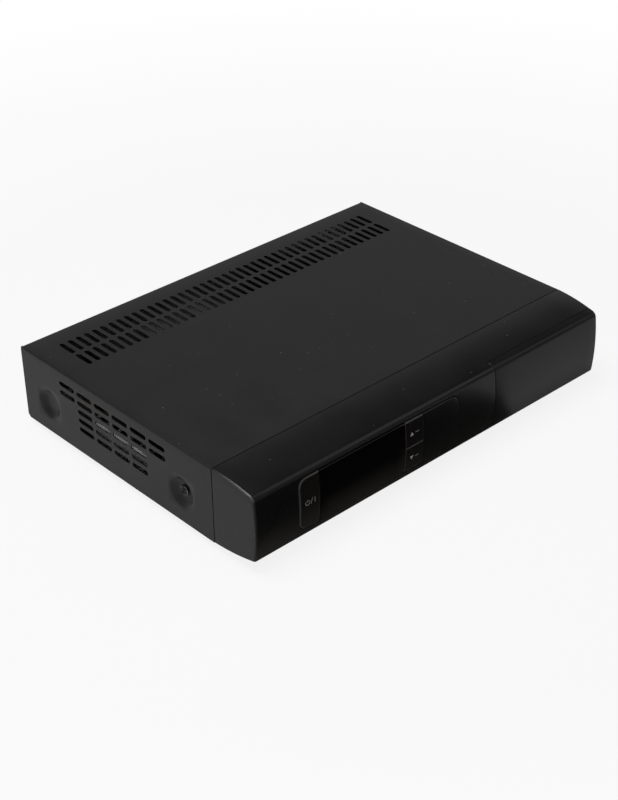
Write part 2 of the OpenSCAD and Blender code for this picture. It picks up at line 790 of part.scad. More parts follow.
module can_capacitor(r, h) {
    cylinder(r = r, h = h - 1);
    translate([0, 0, h - 1 - eps]) cylinder(r1 = r, r2 = r - 0.6, h = 1);
}

small_can_r = 4;
small_can_h = 12;
tall_can_r = 5;
tall_can_h = 20;
can_pitch = 12;
can_row_y = 45;
tall_can_x = 70;
tall_can_y = 28;

// A row at the front of the main board, a pair near its middle and three on the power board
module board_capacitors() color([0.12, 0.14, 0.2]) in_case() {
    for (i = [1:3]) translate([main_x0 + i * can_pitch, main_y0 + can_row_y, deck_z])
        can_capacitor(small_can_r, small_can_h);
    for (i = [0, 1])
        translate([main_x0 + audio_chip_x + i * can_pitch, main_y0 + chip_y + 4 * chip_d, deck_z])
            can_capacitor(small_can_r, small_can_h);
    for (p = [[0, 0], [0, 1], [-1, 0]])
        translate([power_x0 + tall_can_x, power_y0 + tall_can_y, deck_z] + (can_pitch + 2) * [p[0], p[1], 0])
            can_capacitor(tall_can_r, tall_can_h);
}

module tuner_can() color([0.75, 0.75, 0.74]) in_case() {
    block([tuner_x - tuner_w / 2, panel_y - chassis_t - tuner_l, deck_z],
        [tuner_x + tuner_w / 2, panel_y - chassis_t, deck_z + tuner_h]);
}

module aerial_sockets() color([0.8, 0.78, 0.72]) in_case() {
    base_t = chassis_t + sheet_t;
    for (x = aerial_x) translate([x, panel_y - chassis_t, aerial_z]) facing_rear() difference() {
        union() {
            cylinder(d = aerial_collar_d, h = base_t);
            cylinder(d = aerial_d - 2 * aerial_relief, h = base_t + aerial_reach);
            translate([0, 0, base_t + aerial_relief])
                cylinder(d = aerial_d, h = aerial_reach - aerial_relief);
        }
        translate([0, 0, base_t]) cylinder(d = aerial_bore_d, h = aerial_reach + 1);
    }
}

module card_cage() color([0.55, 0.56, 0.57]) in_case() {
    difference() {
        block([cage_x - cage_w / 2, -cage_front, deck_z], [cage_x + cage_w / 2, cage_back, deck_z + cage_h]);
        for (z = card_slot_z) block([cage_x - card_slot_w / 2, -cage_front - 1, z],
            [cage_x + card_slot_w / 2, cage_back - cage_wall, z + card_slot_h]);
    }
}

usb_w = 14.4;
usb_h = 7;
usb_open_w = 12.5;
usb_open_h = 5.1;

// A socket for a flat plug, its mouth at y = 0 facing forward, standing on z = 0
module usb_shape(depth) {
    difference() {
        block([-usb_w / 2, 0, 0], [usb_w / 2, depth, usb_h]);
        block([-usb_open_w / 2, -1, (usb_h - usb_open_h) / 2],
            [usb_open_w / 2, depth - 3, (usb_h + usb_open_h) / 2]);
    }
    block([-usb_open_w / 2 + 0.6, 1, usb_h / 2], [usb_open_w / 2 - 0.6, depth - 2, usb_h / 2 + 1.8]);
}

module front_usb_socket() color([0.78, 0.78, 0.78]) in_case() {
    translate([front_usb_x, -recess_in - 0.5, deck_z]) usb_shape(recess_in + main_y0 + 10);
}

module rear_usb_socket() color([0.78, 0.78, 0.78]) in_case() {
    translate([usb_x, panel_y + 0.5, deck_z]) rotate(180) usb_shape(17);
}

module scart_sockets() color([0.06, 0.06, 0.065]) in_case() {
    for (i = [0, 1]) translate([scart_x, panel_y, deck_z + i * scart_row]) difference() {
        block([-scart_w / 2, -14, 0], [scart_w / 2, 1, scart_h]);
        difference() {
            block([-23, -7, 2.2], [23, 2, scart_h - 2.2]);
            block([-21.4, -8, 3.8], [21.4, 2, scart_h - 3.8]);
        }
        for (j = [0:9], k = [0, 1]) translate([-18.6 + (j + k / 2) * contact_pitch, -6, 4.8 + k * 4])
            cube([1.4, 8, 2.6]);
    }
}

phono_places = [for (i = [-0.5, 0.5], j = [0:2]) [phono_x + i * phono_pitch, phono_low + j * phono_pitch]];

module phono_block() color([0.08, 0.08, 0.085]) in_case() {
    block([phono_x - phono_pitch, panel_y - chassis_t - 11, deck_z],
        [phono_x + phono_pitch, panel_y - chassis_t, deck_z + 3 * phono_pitch]);
}

module phono_jacks() color([0.8, 0.78, 0.72]) in_case() {
    for (p = phono_places) translate([p[0], panel_y - chassis_t, p[1]]) facing_rear() difference() {
        union() {
            cylinder(d = phono_d, h = sheet_t + chassis_t + phono_reach);
            cylinder(d = phono_d + 1.6, h = chassis_t + 1.4);
        }
        translate([0, 0, chassis_t + 1]) cylinder(r = 1.7, h = phono_reach + 1);
    }
}

module hdmi_shape(grow) {
    polygon([[-7.5 - grow, 6.2 + grow], [7.5 + grow, 6.2 + grow], [7.5 + grow, 2.4 - grow / 2],
        [5.6 + grow / 2, 0.6 - grow], [-5.6 - grow / 2, 0.6 - grow], [-7.5 - grow, 2.4 - grow / 2]]);
}

module hdmi_socket() color([0.78, 0.78, 0.78]) in_case() {
    translate([hdmi_x, panel_y, deck_z]) {
        difference() {
            upright(-11, 11.5) hdmi_shape(0.6);
            upright(-9, 10) hdmi_shape(0);
        }
        block([-5.8, -10, 3.2], [5.8, -0.5, 4.4]);
    }
}

network_w = 16;
network_h = 13.5;

module network_socket() color([0.7, 0.7, 0.7]) in_case() {
    translate([network_x, panel_y, deck_z]) difference() {
        block([-network_w / 2, -20, 0], [network_w / 2, 0.5, network_h]);
        block([-5.9, -14, 3.6], [5.9, 1, 11]);
        block([-3, -14, 1.8], [3, 1, 4]);
    }
}

optical_size = 10;

module optical_socket() color([0.05, 0.05, 0.055]) in_case() {
    translate([optical_x, panel_y, deck_z]) difference() {
        block([-optical_size / 2, -13, 0], [optical_size / 2, 0.8, optical_size]);
        block([-2.8, -6, optical_size / 2 - 2.8], [2.8, 1, optical_size / 2 + 2.8]);
    }
}

serial_w = 31;
serial_h = 12.6;

module dee_shape(grow) {
    polygon([[-8.6 - grow, 4.2 + grow], [8.6 + grow, 4.2 + grow], [7.4 + grow, -4.2 - grow],
        [-7.4 - grow, -4.2 - grow]]);
}

module serial_socket() color([0.72, 0.72, 0.72]) in_case() {
    translate([serial_x, panel_y, deck_z + serial_h / 2]) {
        difference() {
            upright(-chassis_t - 10, 16) dee_shape(0);
            for (i = [0:4]) translate([(i - 2) * 2.76, 0, 1.5]) facing_rear() cylinder(r = 0.6, h = 10);
            for (i = [0:3]) translate([(i - 1.5) * 2.76, 0, -1.4]) facing_rear() cylinder(r = 0.6, h = 10);
        }
        block([-serial_w / 2, -chassis_t - 1, -serial_h / 2], [serial_w / 2, -chassis_t, serial_h / 2]);
        block([-10, -chassis_t - 12, -serial_h / 2], [10, -chassis_t - 1 + eps, serial_h / 2]);
        for (s = [-1, 1]) translate([s * 12.5, -chassis_t - eps, 0]) facing_rear() difference() {
            cylinder(r = 2.6, h = 6, $fn = 6);
            translate([0, 0, 1]) cylinder(r = 1.5, h = 6);
        }
    }
}

inlet_w = 20;
inlet_h = 14;
inlet_rim_w = 27;
inlet_rim_h = 19;

// Two round ends with a neck between, as on a two-pole appliance inlet
module inlet_mouth() {
    square([8.6, 8.4], center = true);
    for (s = [-1, 1]) translate([s * 4.3, 0]) circle(d = 8.4);
}

module mains_inlet() color([0.05, 0.05, 0.055]) in_case() {
    translate([inlet_x, panel_y, mains_z]) {
        difference() {
            union() {
                upright(0, 2) translate([-inlet_rim_w, -inlet_rim_h] / 2)
                    rounded(inlet_rim_w, inlet_rim_h, 3);
                block([-inlet_w / 2, -15, -inlet_h / 2], [inlet_w / 2, eps, inlet_h / 2]);
            }
            upright(-11, 14) inlet_mouth();
        }
        for (s = [-1, 1]) translate([s * 4.3, -12, 0]) facing_rear() cylinder(r = 1.2, h = 11);
    }
}

switch_w = 13;
switch_h = 19;
switch_rim = 1.2;
rocker_w = 9;
rocker_r = 8;
rocker_in = 2.5;
trunnion_r = 1.2;

module mains_switch() color([0.05, 0.05, 0.055]) in_case() {
    translate([switch_x, panel_y, mains_z]) difference() {
        union() {
            upright(0, 1.6) translate([-switch_w / 2 - switch_rim, -switch_h / 2 - switch_rim])
                rounded(switch_w + 2 * switch_rim, switch_h + 2 * switch_rim, 1.5);
            block([-switch_w / 2, -16, -switch_h / 2], [switch_w / 2, eps, switch_h / 2]);
        }
        block([-rocker_w / 2 - 0.3, -rocker_in - rocker_r - 0.3, -rocker_r - 0.3],
            [rocker_w / 2 + 0.3, 3, rocker_r + 0.3]);
        translate([-rocker_w / 2 - 1.5, -rocker_in, 0]) facing_side(1)
            cylinder(r = trunnion_r + pin_fit, h = rocker_w + 3);
    }
}

module mains_rocker() color([0.06, 0.06, 0.065]) in_case() {
    translate([switch_x, panel_y - rocker_in, mains_z]) rotate([rocker_tilt, 0, 0]) {
        across(-rocker_w / 2, rocker_w) intersection() {
            circle(r = rocker_r);
            polygon([[-4, -rocker_r], [6, -rocker_r], [5, 0], [6, rocker_r], [-4, rocker_r]]);
        }
        translate([-rocker_w / 2 - 1.2, 0, 0]) facing_side(1) cylinder(r = trunnion_r, h = rocker_w + 2.4);
    }
}

module rear_panel() color([0.66, 0.67, 0.68]) in_case() {
    edge_x = wall_x - fit;
    upright(panel_y - chassis_t, chassis_t) difference() {
        translate([-edge_x, 0]) square([2 * edge_x, cover_h - fold_r - fit]);
        for (x = lip_screw_x) translate([x, lip_screw_z]) circle(hole_r);
        for (x = rear_screw_x) translate([x, flange_screw_z]) circle(hole_r);
        for (x = aerial_x) translate([x, aerial_z]) circle(d = aerial_collar_d + 2 * fit);
        for (i = [0, 1]) translate([scart_x - scart_w / 2 - fit, deck_z - fit + i * scart_row])
            square([scart_w + 2 * fit, scart_h + 2 * fit]);
        for (p = phono_places) translate(p) circle(d = phono_d + 1.6 + 2 * fit);
        translate([optical_x - optical_size / 2 - fit, deck_z - fit]) square(optical_size + 2 * fit);
        translate([hdmi_x, deck_z]) hdmi_shape(0.6 + fit);
        translate([network_x - network_w / 2 - fit, deck_z - fit])
            square([network_w, network_h] + 2 * [fit, fit]);
        translate([usb_x - usb_w / 2 - fit, deck_z - fit]) square([usb_w, usb_h] + 2 * [fit, fit]);
        translate([serial_x, deck_z + serial_h / 2]) dee_shape(fit);
        for (s = [-1, 1]) translate([serial_x + s * 12.5, deck_z + serial_h / 2]) circle(r = 2.6 + fit);
        translate([inlet_x - inlet_w / 2 - fit, mains_z - inlet_h / 2 - fit])
            square([inlet_w, inlet_h] + 2 * [fit, fit]);
        translate([switch_x - switch_w / 2 - fit, mains_z - switch_h / 2 - fit])
            square([switch_w, switch_h] + 2 * [fit, fit]);
    }
}

coil_x = 50;
coil_y = 80;
bobbin_w = 34;
bobbin_d = 38;
bobbin_t = 4;
winding_w = 22;
winding_d = 30;
coil_h = 27;
core_w = 38;
core_d = 16;
core_h = 12;

// Bobbin plates with the winding between them and the core through its middle
module transformer() color([0.5, 0.38, 0.12]) in_case() {
    translate([power_x0 + coil_x, power_y0 + coil_y, deck_z]) {
        for (z = [0, coil_h - bobbin_t]) block([-bobbin_w / 2, -bobbin_d / 2, z],
            [bobbin_w / 2, bobbin_d / 2, z + bobbin_t]);
        block([-winding_w / 2, -winding_d / 2, eps], [winding_w / 2, winding_d / 2, coil_h - eps]);
        translate([0, 0, coil_h / 2]) cube([core_w, core_d, core_h], center = true);
    }
}

bulk_x = 62;
bulk_y = 124;
bulk_r = 11;
bulk_h = 32;

module bulk_capacitor() color([0.08, 0.1, 0.16]) in_case() {
    translate([power_x0 + bulk_x, power_y0 + bulk_y, deck_z]) can_capacitor(bulk_r, bulk_h);
}

fin_x = 1;
fin_y = 40;
fin_t = 3;
fin_l = 76;
fin_h = 18;
fin_reach = 7;
fin_gaps = 6;

module power_heat_sink() color([0.78, 0.79, 0.8]) in_case() {
    translate([power_x0 + fin_x, power_y0 + fin_y, deck_z]) {
        cube([fin_t, fin_l, fin_h]);
        for (i = [0:fin_gaps]) translate([fin_t - eps, i * (fin_l - fin_t) / fin_gaps, fin_t])
            cube([fin_reach, fin_t, fin_h - fin_t]);
    }
}

fuse_x = 30;
fuse_y = 134;
fuse_r = 2.6;
fuse_l = 20;
clip_w = 6;
clip_d = 5;
clip_h = 4;

module mains_fuse() color([0.8, 0.8, 0.78]) in_case() {
    translate([power_x0 + fuse_x, power_y0 + fuse_y, deck_z]) {
        translate([0, 0, clip_h]) facing_rear() cylinder(r = fuse_r, h = fuse_l);
        for (y = [0, fuse_l - clip_d]) translate([-clip_w / 2, y, 0]) cube([clip_w, clip_d, clip_h]);
    }
}

// A wire from a terminal at depth y and height z, forward and down to the power board
module bent_wire(x, y, z) {
    bend = 4;
    wire_r = 1.1;
    run = y - power_y1 + 5 - bend;
    translate([x, y, z]) {
        rotate([90, 0, 0]) cylinder(r = wire_r, h = run);
        translate([0, -run, -bend]) rotate([0, -90, 0]) rotate([180, 0, 0])
            rotate_extrude(angle = 90) translate([bend, 0]) circle(wire_r);
        translate([0, -run - bend, deck_z - z]) cylinder(r = wire_r, h = z - bend - deck_z);
    }
}

module mains_wires() color([0.35, 0.2, 0.12]) in_case() {
    for (s = [-1, 1]) {
        bent_wire(inlet_x + s * 5, panel_y - 15, mains_z);
        bent_wire(switch_x + s * 3.5, panel_y - 16, mains_z);
    }
}

// Flat lead bridging the two boards
module power_lead() color([0.75, 0.72, 0.6]) in_case() {
    x0 = power_x1 - 6;
    x1 = main_x0 + 8;
    top = deck_z + 12;
    upright(power_y0 + 60, 14) polygon(strip([[x0, deck_z], [x0, top - 4], [x0 + 4, top], [x1 - 4, top],
        [x1, top - 4], [x1, deck_z]], 1.4));
}

module front_ribbon() color([0.7, 0.7, 0.68]) in_case() {
    across(main_x0 + 20, ribbon_w) polygon(strip(ribbon_route, ribbon_t));
}

base_chassis();
rear_panel();
top_cover();
cover_side_screws();
cover_rear_screws();
rear_panel_screws();
rubber_feet();
foot_screws();
front_bezel();
bezel_screws();
display_window();
power_button();
channel_up_button();
channel_down_button();
infill_panel();
flap_door();
flap_frame();
flap_hinge_pins();
flap_magnet();
flap_keeper();
front_board();
front_board_screws();
display_module();
tact_switches();
infrared_receiver();
board_standoffs();
board_screws();
main_board();
processor_heat_sink();
board_chips();
board_capacitors();
tuner_can();
aerial_sockets();
card_cage();
front_usb_socket();
rear_usb_socket();
scart_sockets();
phono_block();
phono_jacks();
hdmi_socket();
network_socket();
optical_socket();
serial_socket();
power_board();
transformer();
bulk_capacitor();
power_heat_sink();
mains_fuse();
mains_inlet();
mains_switch();
mains_rocker();
mains_wires();
power_lead();
front_ribbon();
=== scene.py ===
import json
import math

import bmesh
import bpy
import numpy as np
from mathutils import Matrix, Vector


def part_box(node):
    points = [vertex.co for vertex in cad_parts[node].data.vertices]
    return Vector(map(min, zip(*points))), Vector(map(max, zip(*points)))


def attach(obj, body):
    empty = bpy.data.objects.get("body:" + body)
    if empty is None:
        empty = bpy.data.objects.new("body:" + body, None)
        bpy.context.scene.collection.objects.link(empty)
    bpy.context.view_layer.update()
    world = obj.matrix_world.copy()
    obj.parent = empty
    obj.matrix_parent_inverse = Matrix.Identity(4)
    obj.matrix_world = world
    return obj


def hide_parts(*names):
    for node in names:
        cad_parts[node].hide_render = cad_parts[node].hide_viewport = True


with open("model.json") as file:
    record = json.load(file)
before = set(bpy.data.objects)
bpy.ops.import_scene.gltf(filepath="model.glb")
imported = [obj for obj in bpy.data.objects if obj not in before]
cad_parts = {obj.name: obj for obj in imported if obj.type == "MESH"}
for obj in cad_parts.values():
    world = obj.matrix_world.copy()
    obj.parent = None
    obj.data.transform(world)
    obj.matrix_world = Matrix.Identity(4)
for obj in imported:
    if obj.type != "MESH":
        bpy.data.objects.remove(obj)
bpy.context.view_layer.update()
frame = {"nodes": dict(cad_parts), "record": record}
nodes = frame["nodes"]
print("frame loaded:", len(nodes), "nodes")

# Shapes are worked out in millimetres from the seam between cover and bezel:
# x across, y to the rear, z up from the cover's lower edge.
perMetre = 1000.0
coverLow, coverHigh = (np.array(corner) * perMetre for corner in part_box("top_cover"))
seam = np.array([0.0, coverLow[1], coverLow[2]])
half = coverHigh[0]
coverD, coverH = (coverHigh - coverLow)[1:]

# How meshes are joined, shaded and softened: points are the same when they agree to so many decimals;
# lengths in millimetres, angles in degrees
meshing = {"decimals": 3, "sharp": 50.0, "segments": 2, "merge": 0.002, "flat": 0.5, "nodeSharp": 32.0,
           "nodeBevel": 40.0}


# A node's lowest and highest corner, counted from the seam
def nodeBox(name):
    return tuple(np.array(corner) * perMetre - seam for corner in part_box(name))


# Coordinates stretched over each other and stacked as points
def asPoints(*parts):
    return np.stack(np.broadcast_arrays(*parts), axis=-1)


# Quads between neighbours of a rows x columns grid; wrap joins the last column to the first
def gridFaces(rows, columns, wrap=False):
    index = np.arange(rows * columns).reshape(rows, columns)
    if wrap:
        index = np.concatenate([index, index[:, :1]], axis=1)
    return asPoints(index[:-1, :-1], index[:-1, 1:], index[1:, 1:], index[1:, :-1]).reshape(-1, 4)


# The points round a grid's edge, once each
def borderOf(grid):
    return np.concatenate([grid[0, :-1], grid[:-1, -1], grid[-1, :0:-1], grid[:0:-1, 0]])


# Points at one place become one and unused points go; kept lists those that stay
def weld(points, faces):
    used, compact = np.unique(faces, return_inverse=True)
    _, first, back = np.unique(np.round(points[used], meshing["decimals"]), axis=0, return_index=True,
                               return_inverse=True)
    kept = used[first]
    return points[kept], back.reshape(-1)[compact.reshape(faces.shape)], kept


# Several closed forms as one list of points and faces
def joinForms(*forms):
    starts = np.cumsum([0] + [len(points) for points, _ in forms[:-1]])
    faces = [part + start for (_, part), start in zip(forms, starts)]
    return np.concatenate([points for points, _ in forms]), np.concatenate(faces)


# A body turned about a line along x: one ring for each radius, at an x that may differ round the ring
def turnedForm(centre, radius, x, angle):
    y = centre[0] + radius[:, None] * np.cos(angle)
    z = centre[1] + radius[:, None] * np.sin(angle)
    return weld(asPoints(x, y, z).reshape(-1, 3), gridFaces(len(radius), len(angle), wrap=True))


# A full turn in equal steps
def roundTurn(steps):
    return np.linspace(0, 2 * np.pi, steps, endpoint=False)


# A quarter turn, both ends included
def quarterTurn(steps):
    return np.linspace(0, np.pi / 2, steps + 1)


# Values from stop to stop, each stretch in its own number of steps
def through(stops, steps):
    parts = [np.linspace(a, b, n + 1)[1:] for a, b, n in zip(stops, stops[1:], steps)]
    return np.concatenate([stops[:1], *parts])


# Puts an object with its data into the scene
def addObject(name, data):
    made = bpy.data.objects.new(name, data)
    bpy.context.scene.collection.objects.link(made)
    return made


# Makes a mesh a piece: finish (the slot's when none is given), sharp edges, bevel and body; the nodes it
# stands for are hidden.
# A carried mesh copies a node's: its loose triangles are merged and flat neighbours joined first.
def dressMesh(mesh, name, body, slot, replaced, finish, sharp, bevel, bevelFrom, carried=False):
    work = bmesh.new()
    work.from_mesh(mesh)
    if carried:
        bmesh.ops.remove_doubles(work, verts=work.verts, dist=meshing["merge"] / perMetre)
        bmesh.ops.dissolve_limit(work, angle_limit=math.radians(meshing["flat"]), verts=work.verts,
                                 edges=work.edges)
    bmesh.ops.recalc_face_normals(work, faces=work.faces)
    work.to_mesh(mesh)
    work.free()
    mesh.materials.clear()
    mesh.materials.append(finishes[finish or finishOf(slot)])
    mesh.shade_smooth()
    mesh.set_sharp_from_angle(angle=math.radians(sharp))
    piece = addObject(name, mesh)
    if bevel > 0:
        rounding = piece.modifiers.new("edges", "BEVEL")
        rounding.width = bevel / perMetre
        rounding.segments = meshing["segments"]
        rounding.limit_method = "ANGLE"
        rounding.angle_limit = math.radians(bevelFrom)
        rounding.use_clamp_overlap = carried
        rounding.harden_normals = True
    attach(piece, body)
    if replaced:
        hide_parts(*replaced)
    return piece


# A piece from points and quads; a quad with a repeated corner becomes a triangle
def makePiece(name, points, faces, body, slot, replaced=(), bevel=0.0, limit=meshing["sharp"], finish=None):
    flat = (faces == np.roll(faces, -1, axis=1)).any(axis=1)
    threes = [tuple(dict.fromkeys(face)) for face in faces[flat].tolist()]
    mesh = bpy.data.meshes.new(name)
    mesh.from_pydata(((points + seam) / perMetre).tolist(), [],
                     faces[~flat].tolist() + [face for face in threes if len(face) > 2])
    return dressMesh(mesh, name, body, slot, replaced, finish, limit, bevel, limit)


# Share of the finish's paler rim for each point, 0 to 1: painted highlight, with wear on the dish screws;
# points past the list take none
def setWearAndPaintedHighlight(piece, values):
    worn = piece.data.attributes.new("worn", "FLOAT", "POINT")
    padded = np.pad(values, (0, len(piece.data.vertices) - len(values)))
    worn.data.foreach_set("value", padded.astype(np.float32))


# A sheet is a list of patches, each with an outer and an inner skin on the same faces, and how much painted
# highlight it takes
def newSheet():
    return {"outer": [], "inner": [], "faces": [], "worn": [], "count": 0}


# Adds a patch; without faces of its own it is a grid of rows and columns
def addPatch(sheet, outer, inner, faces=None, worn=0.0):
    if faces is None:
        faces = gridFaces(*outer.shape[:2])
    sheet["worn"].append(np.broadcast_to(worn, outer.shape[:-1]).ravel())
    sheet["outer"].append(outer.reshape(-1, 3))
    sheet["inner"].append(inner.reshape(-1, 3))
    sheet["faces"].append(faces + sheet["count"])
    sheet["count"] += len(sheet["outer"][-1])


# Joins the patches, then walls up each edge that only one face uses, from skin to skin
def closeSheet(sheet):
    every = {key: np.concatenate(sheet[key]) for key in ("outer", "inner", "faces", "worn")}
    outer, faces, kept = weld(every["outer"], every["faces"])
    edges = asPoints(faces, np.roll(faces, -1, axis=1)).reshape(-1, 2)
    edges = edges[edges[:, 0] != edges[:, 1]]
    _, index, uses = np.unique(np.sort(edges, axis=1), axis=0, return_index=True, return_counts=True)
    start, end = edges[index[uses == 1]].T
    count = len(outer)
    walls = asPoints(end, start, start + count, end + count)
    points = np.concatenate([outer, every["inner"][kept]])
    return points, np.concatenate([faces, faces[:, ::-1] + count, walls]), every["worn"][kept]


# A flat grid over the lines u and v without the blocks of its cuts, which rings fill
def gridWithCuts(sheet, u, v, cuts, lift, thick):
    flat = asPoints(*np.meshgrid(u, v)).reshape(-1, 2)
    faces = gridFaces(len(v), len(u))
    middle = flat[faces].mean(axis=1)
    keep = np.ones(len(faces), bool)
    for cut in cuts:
        keep &= ~(np.abs(middle - cut["centre"]) < cut["block"]).all(axis=1)
    level = np.zeros(len(flat))
    addPatch(sheet, lift(flat, level), lift(flat, level + thick), faces[keep])
    for cut in cuts:
        addRings(sheet, u, v, cut, lift, thick)


# Rings from a block's border to a cut's outline: nearest point of the spine, then outwards by each radius
def addRings(sheet, u, v, cut, lift, thick, onLine=0.01):
    us, vs = (line[np.abs(line - middle) < reach + onLine]
              for line, middle, reach in zip((u, v), cut["centre"], cut["block"]))
    border = borderOf(asPoints(*np.meshgrid(us, vs)))
    spine = cut["centre"] + np.clip(border - cut["centre"], -cut["reach"], cut["reach"])
    ways = border - spine
    ways /= np.linalg.norm(ways, axis=1, keepdims=True)
    rings = np.concatenate([border[None], spine + ways * cut["radii"][:, None, None]])
    level = np.repeat(np.concatenate([[0.0], cut["depths"]]), len(border))
    points = rings.reshape(-1, 2)
    faces = gridFaces(len(rings), len(border), wrap=True)
    addPatch(sheet, lift(points, level), lift(points, level + thick), faces)


# Links a socket or sets its value; a colour gets its fourth number
def feed(socket, value):
    if isinstance(value, bpy.types.NodeSocket):
        socket.id_data.links.new(value, socket)
    else:
        socket.default_value = (*value, 1.0) if socket.type == "RGBA" else value


# A node in the tree of the first socket that feeds it; gives the node's first output
def addNode(kind, inputs, **settings):
    tree = next(value.id_data for value in inputs.values() if isinstance(value, bpy.types.NodeSocket))
    made = tree.nodes.new(kind)
    for key, value in settings.items():
        setattr(made, key, value)
    for key, value in inputs.items():
        feed(made.inputs[key], value)
    return made.outputs[0]


# Noise about one half, finer with a larger scale, in so many octaves
def noise(place, scale, detail=3.0):
    return addNode("ShaderNodeTexNoise", {"Vector": place, "Scale": scale, "Detail": detail})


# Straight line from low to high while the value goes from fromLow to fromHigh, held beyond them
def span(value, low, high, fromLow=0.3, fromHigh=0.7):
    return addNode("ShaderNodeMapRange", {"Value": value, "From Min": fromLow, "From Max": fromHigh,
                                          "To Min": low, "To Max": high})


# Gloss that strays from its middle by a spread to each side
def uneven(value, gloss, spread):
    return span(value, gloss - spread[0], gloss + spread[1])


# One sum or comparison of two values
def math2(operation, first, second):
    return addNode("ShaderNodeMath", {0: first, 1: second}, operation=operation)


# All values multiplied
def times(product, *factors):
    for factor in factors:
        product = math2("MULTIPLY", product, factor)
    return product


# One of a vector's three numbers
def axisOf(vector, axis):
    return addNode("ShaderNodeSeparateXYZ", {0: vector}).node.outputs[axis]


# The first colour at a share of 0, the second at 1
def blend(share, first, second):
    return addNode("ShaderNodeMix", {0: share, 6: first, 7: second}, data_type="RGBA").node.outputs[2]


# A normal that leans with the slope of a height, whose full range is depth
def bump(height, depth, strength=1.0):
    return addNode("ShaderNodeBump", {"Height": height, "Distance": depth, "Strength": strength})


# A material whose look gives its shader's values, worked out from the object's own coordinates
def makeFinish(name, look, **values):
    finish = bpy.data.materials.new(name)
    finish.use_nodes = True
    tree = finish.node_tree
    tree.nodes.clear()
    shader = tree.nodes.new("ShaderNodeBsdfPrincipled")
    place = tree.nodes.new("ShaderNodeTexCoord").outputs["Object"]
    for key, value in look(place, **values).items():
        feed(shader.inputs[key], value)
    feed(tree.nodes.new("ShaderNodeOutputMaterial").inputs[0], shader.outputs[0])
    return finish


coat = {"cloud": 28.0, "cloudShare": 0.4, "coarse": 0.3, "mottle": (0.36, 0.64), "spread": (0.03, 0.04)}
# Dust specks, and a lightening of what faces up, which is painted light
dustAndPaintedLight = {"cells": 75.0, "size": (0.006, 0.026), "clean": 0.80, "level": 0.8, "settled": (0.96, 1.0),
        "tone": (0.32, 0.31, 0.29)}


# Paint or plastic: tone from a coarse and a cloudy mottle, gloss from the clouds, a fine grain; painted light
# on what faces up and a few dust specks; a paler rim where the piece's own attribute says: painted highlight
# on edges, on the dish screws wear with painted glints
def paintLook(place, tones, gloss, grain, depth, dust=0.0, mirror=0.5, rim=None, film=0.0):
    tree = place.id_data
    cloud = noise(place, coat["cloud"], detail=4.0)
    coarse = noise(place, grain * coat["coarse"], detail=2.0)
    mottle = math2("ADD", times(cloud, coat["cloudShare"]), times(coarse, 1 - coat["cloudShare"]))
    colour = blend(span(mottle, 0.0, 1.0, *coat["mottle"]), *tones)
    if dust:
        cells = addNode("ShaderNodeTexVoronoi", {"Vector": place, "Scale": dustAndPaintedLight["cells"]},
                        voronoi_dimensions="2D").node.outputs
        chance = addNode("ShaderNodeSeparateColor", {"Color": cells["Color"]}).node.outputs
        speck = math2("LESS_THAN", cells["Distance"], span(chance[0], *dustAndPaintedLight["size"], 0.0, 1.0))
        some = math2("GREATER_THAN", chance[1], dustAndPaintedLight["clean"])
        upwards = axisOf(tree.nodes.new("ShaderNodeNewGeometry").outputs["Normal"], 2)
        lying = math2("GREATER_THAN", upwards, dustAndPaintedLight["level"])
        # What faces straight up is lightened as painted light; the specks are dust
        for share in (span(upwards, 0.0, film, *dustAndPaintedLight["settled"]), times(speck, some, lying, dust)):
            colour = blend(share, colour, dustAndPaintedLight["tone"])
    # The paler rim is a painted highlight on edges; on the dish screws it is wear with painted glints
    if rim:
        worn = tree.nodes.new("ShaderNodeAttribute")
        worn.attribute_name = "worn"
        colour = blend(worn.outputs["Fac"], colour, rim)
    return {"Base Color": colour, "Roughness": uneven(cloud, gloss, coat["spread"]),
            "Specular IOR Level": mirror, "Normal": bump(noise(place, grain, detail=2.0), depth)}


# Smoked pane: black in its upper half, browner towards its lower edge as a painted reflection
def paneLook(place, node, tones, gloss, mirror, grain=900.0, depth=6e-07, spread=(0.02, 0.03)):
    low, high = (corner[2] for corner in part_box(node))
    fine = noise(place, grain, detail=2.0)
    paintedReflection = span(axisOf(place, 2), 1.0, 0.0, low, (low + high) / 2)
    return {"Base Color": blend(paintedReflection, *tones), "Roughness": uneven(fine, gloss, spread),
            "Specular IOR Level": mirror, "Normal": bump(fine, depth)}


# Bare or plated metal: tone in faint clouds, gloss in a grain that is drawn out where it is brushed
def metalLook(place, tones, gloss, stretch=(1.0, 1.0, 1.0), grain=400.0, depth=4e-06, clouds=45.0,
              spread=(0.07, 0.09)):
    fine = noise(addNode("ShaderNodeMapping", {"Vector": place, "Scale": stretch}), grain, detail=4.0)
    return {"Metallic": 1.0, "Base Color": blend(span(noise(place, clouds), 0.0, 1.0), *tones),
            "Roughness": uneven(fine, gloss, spread), "Normal": bump(fine, depth)}


# Bands across one axis
def waves(place, scale, distortion, axis, **more):
    inputs = {"Vector": place, "Scale": scale, "Distortion": distortion, **more}
    return addNode("ShaderNodeTexWave", inputs, bands_direction=axis).node.outputs["Fac"]


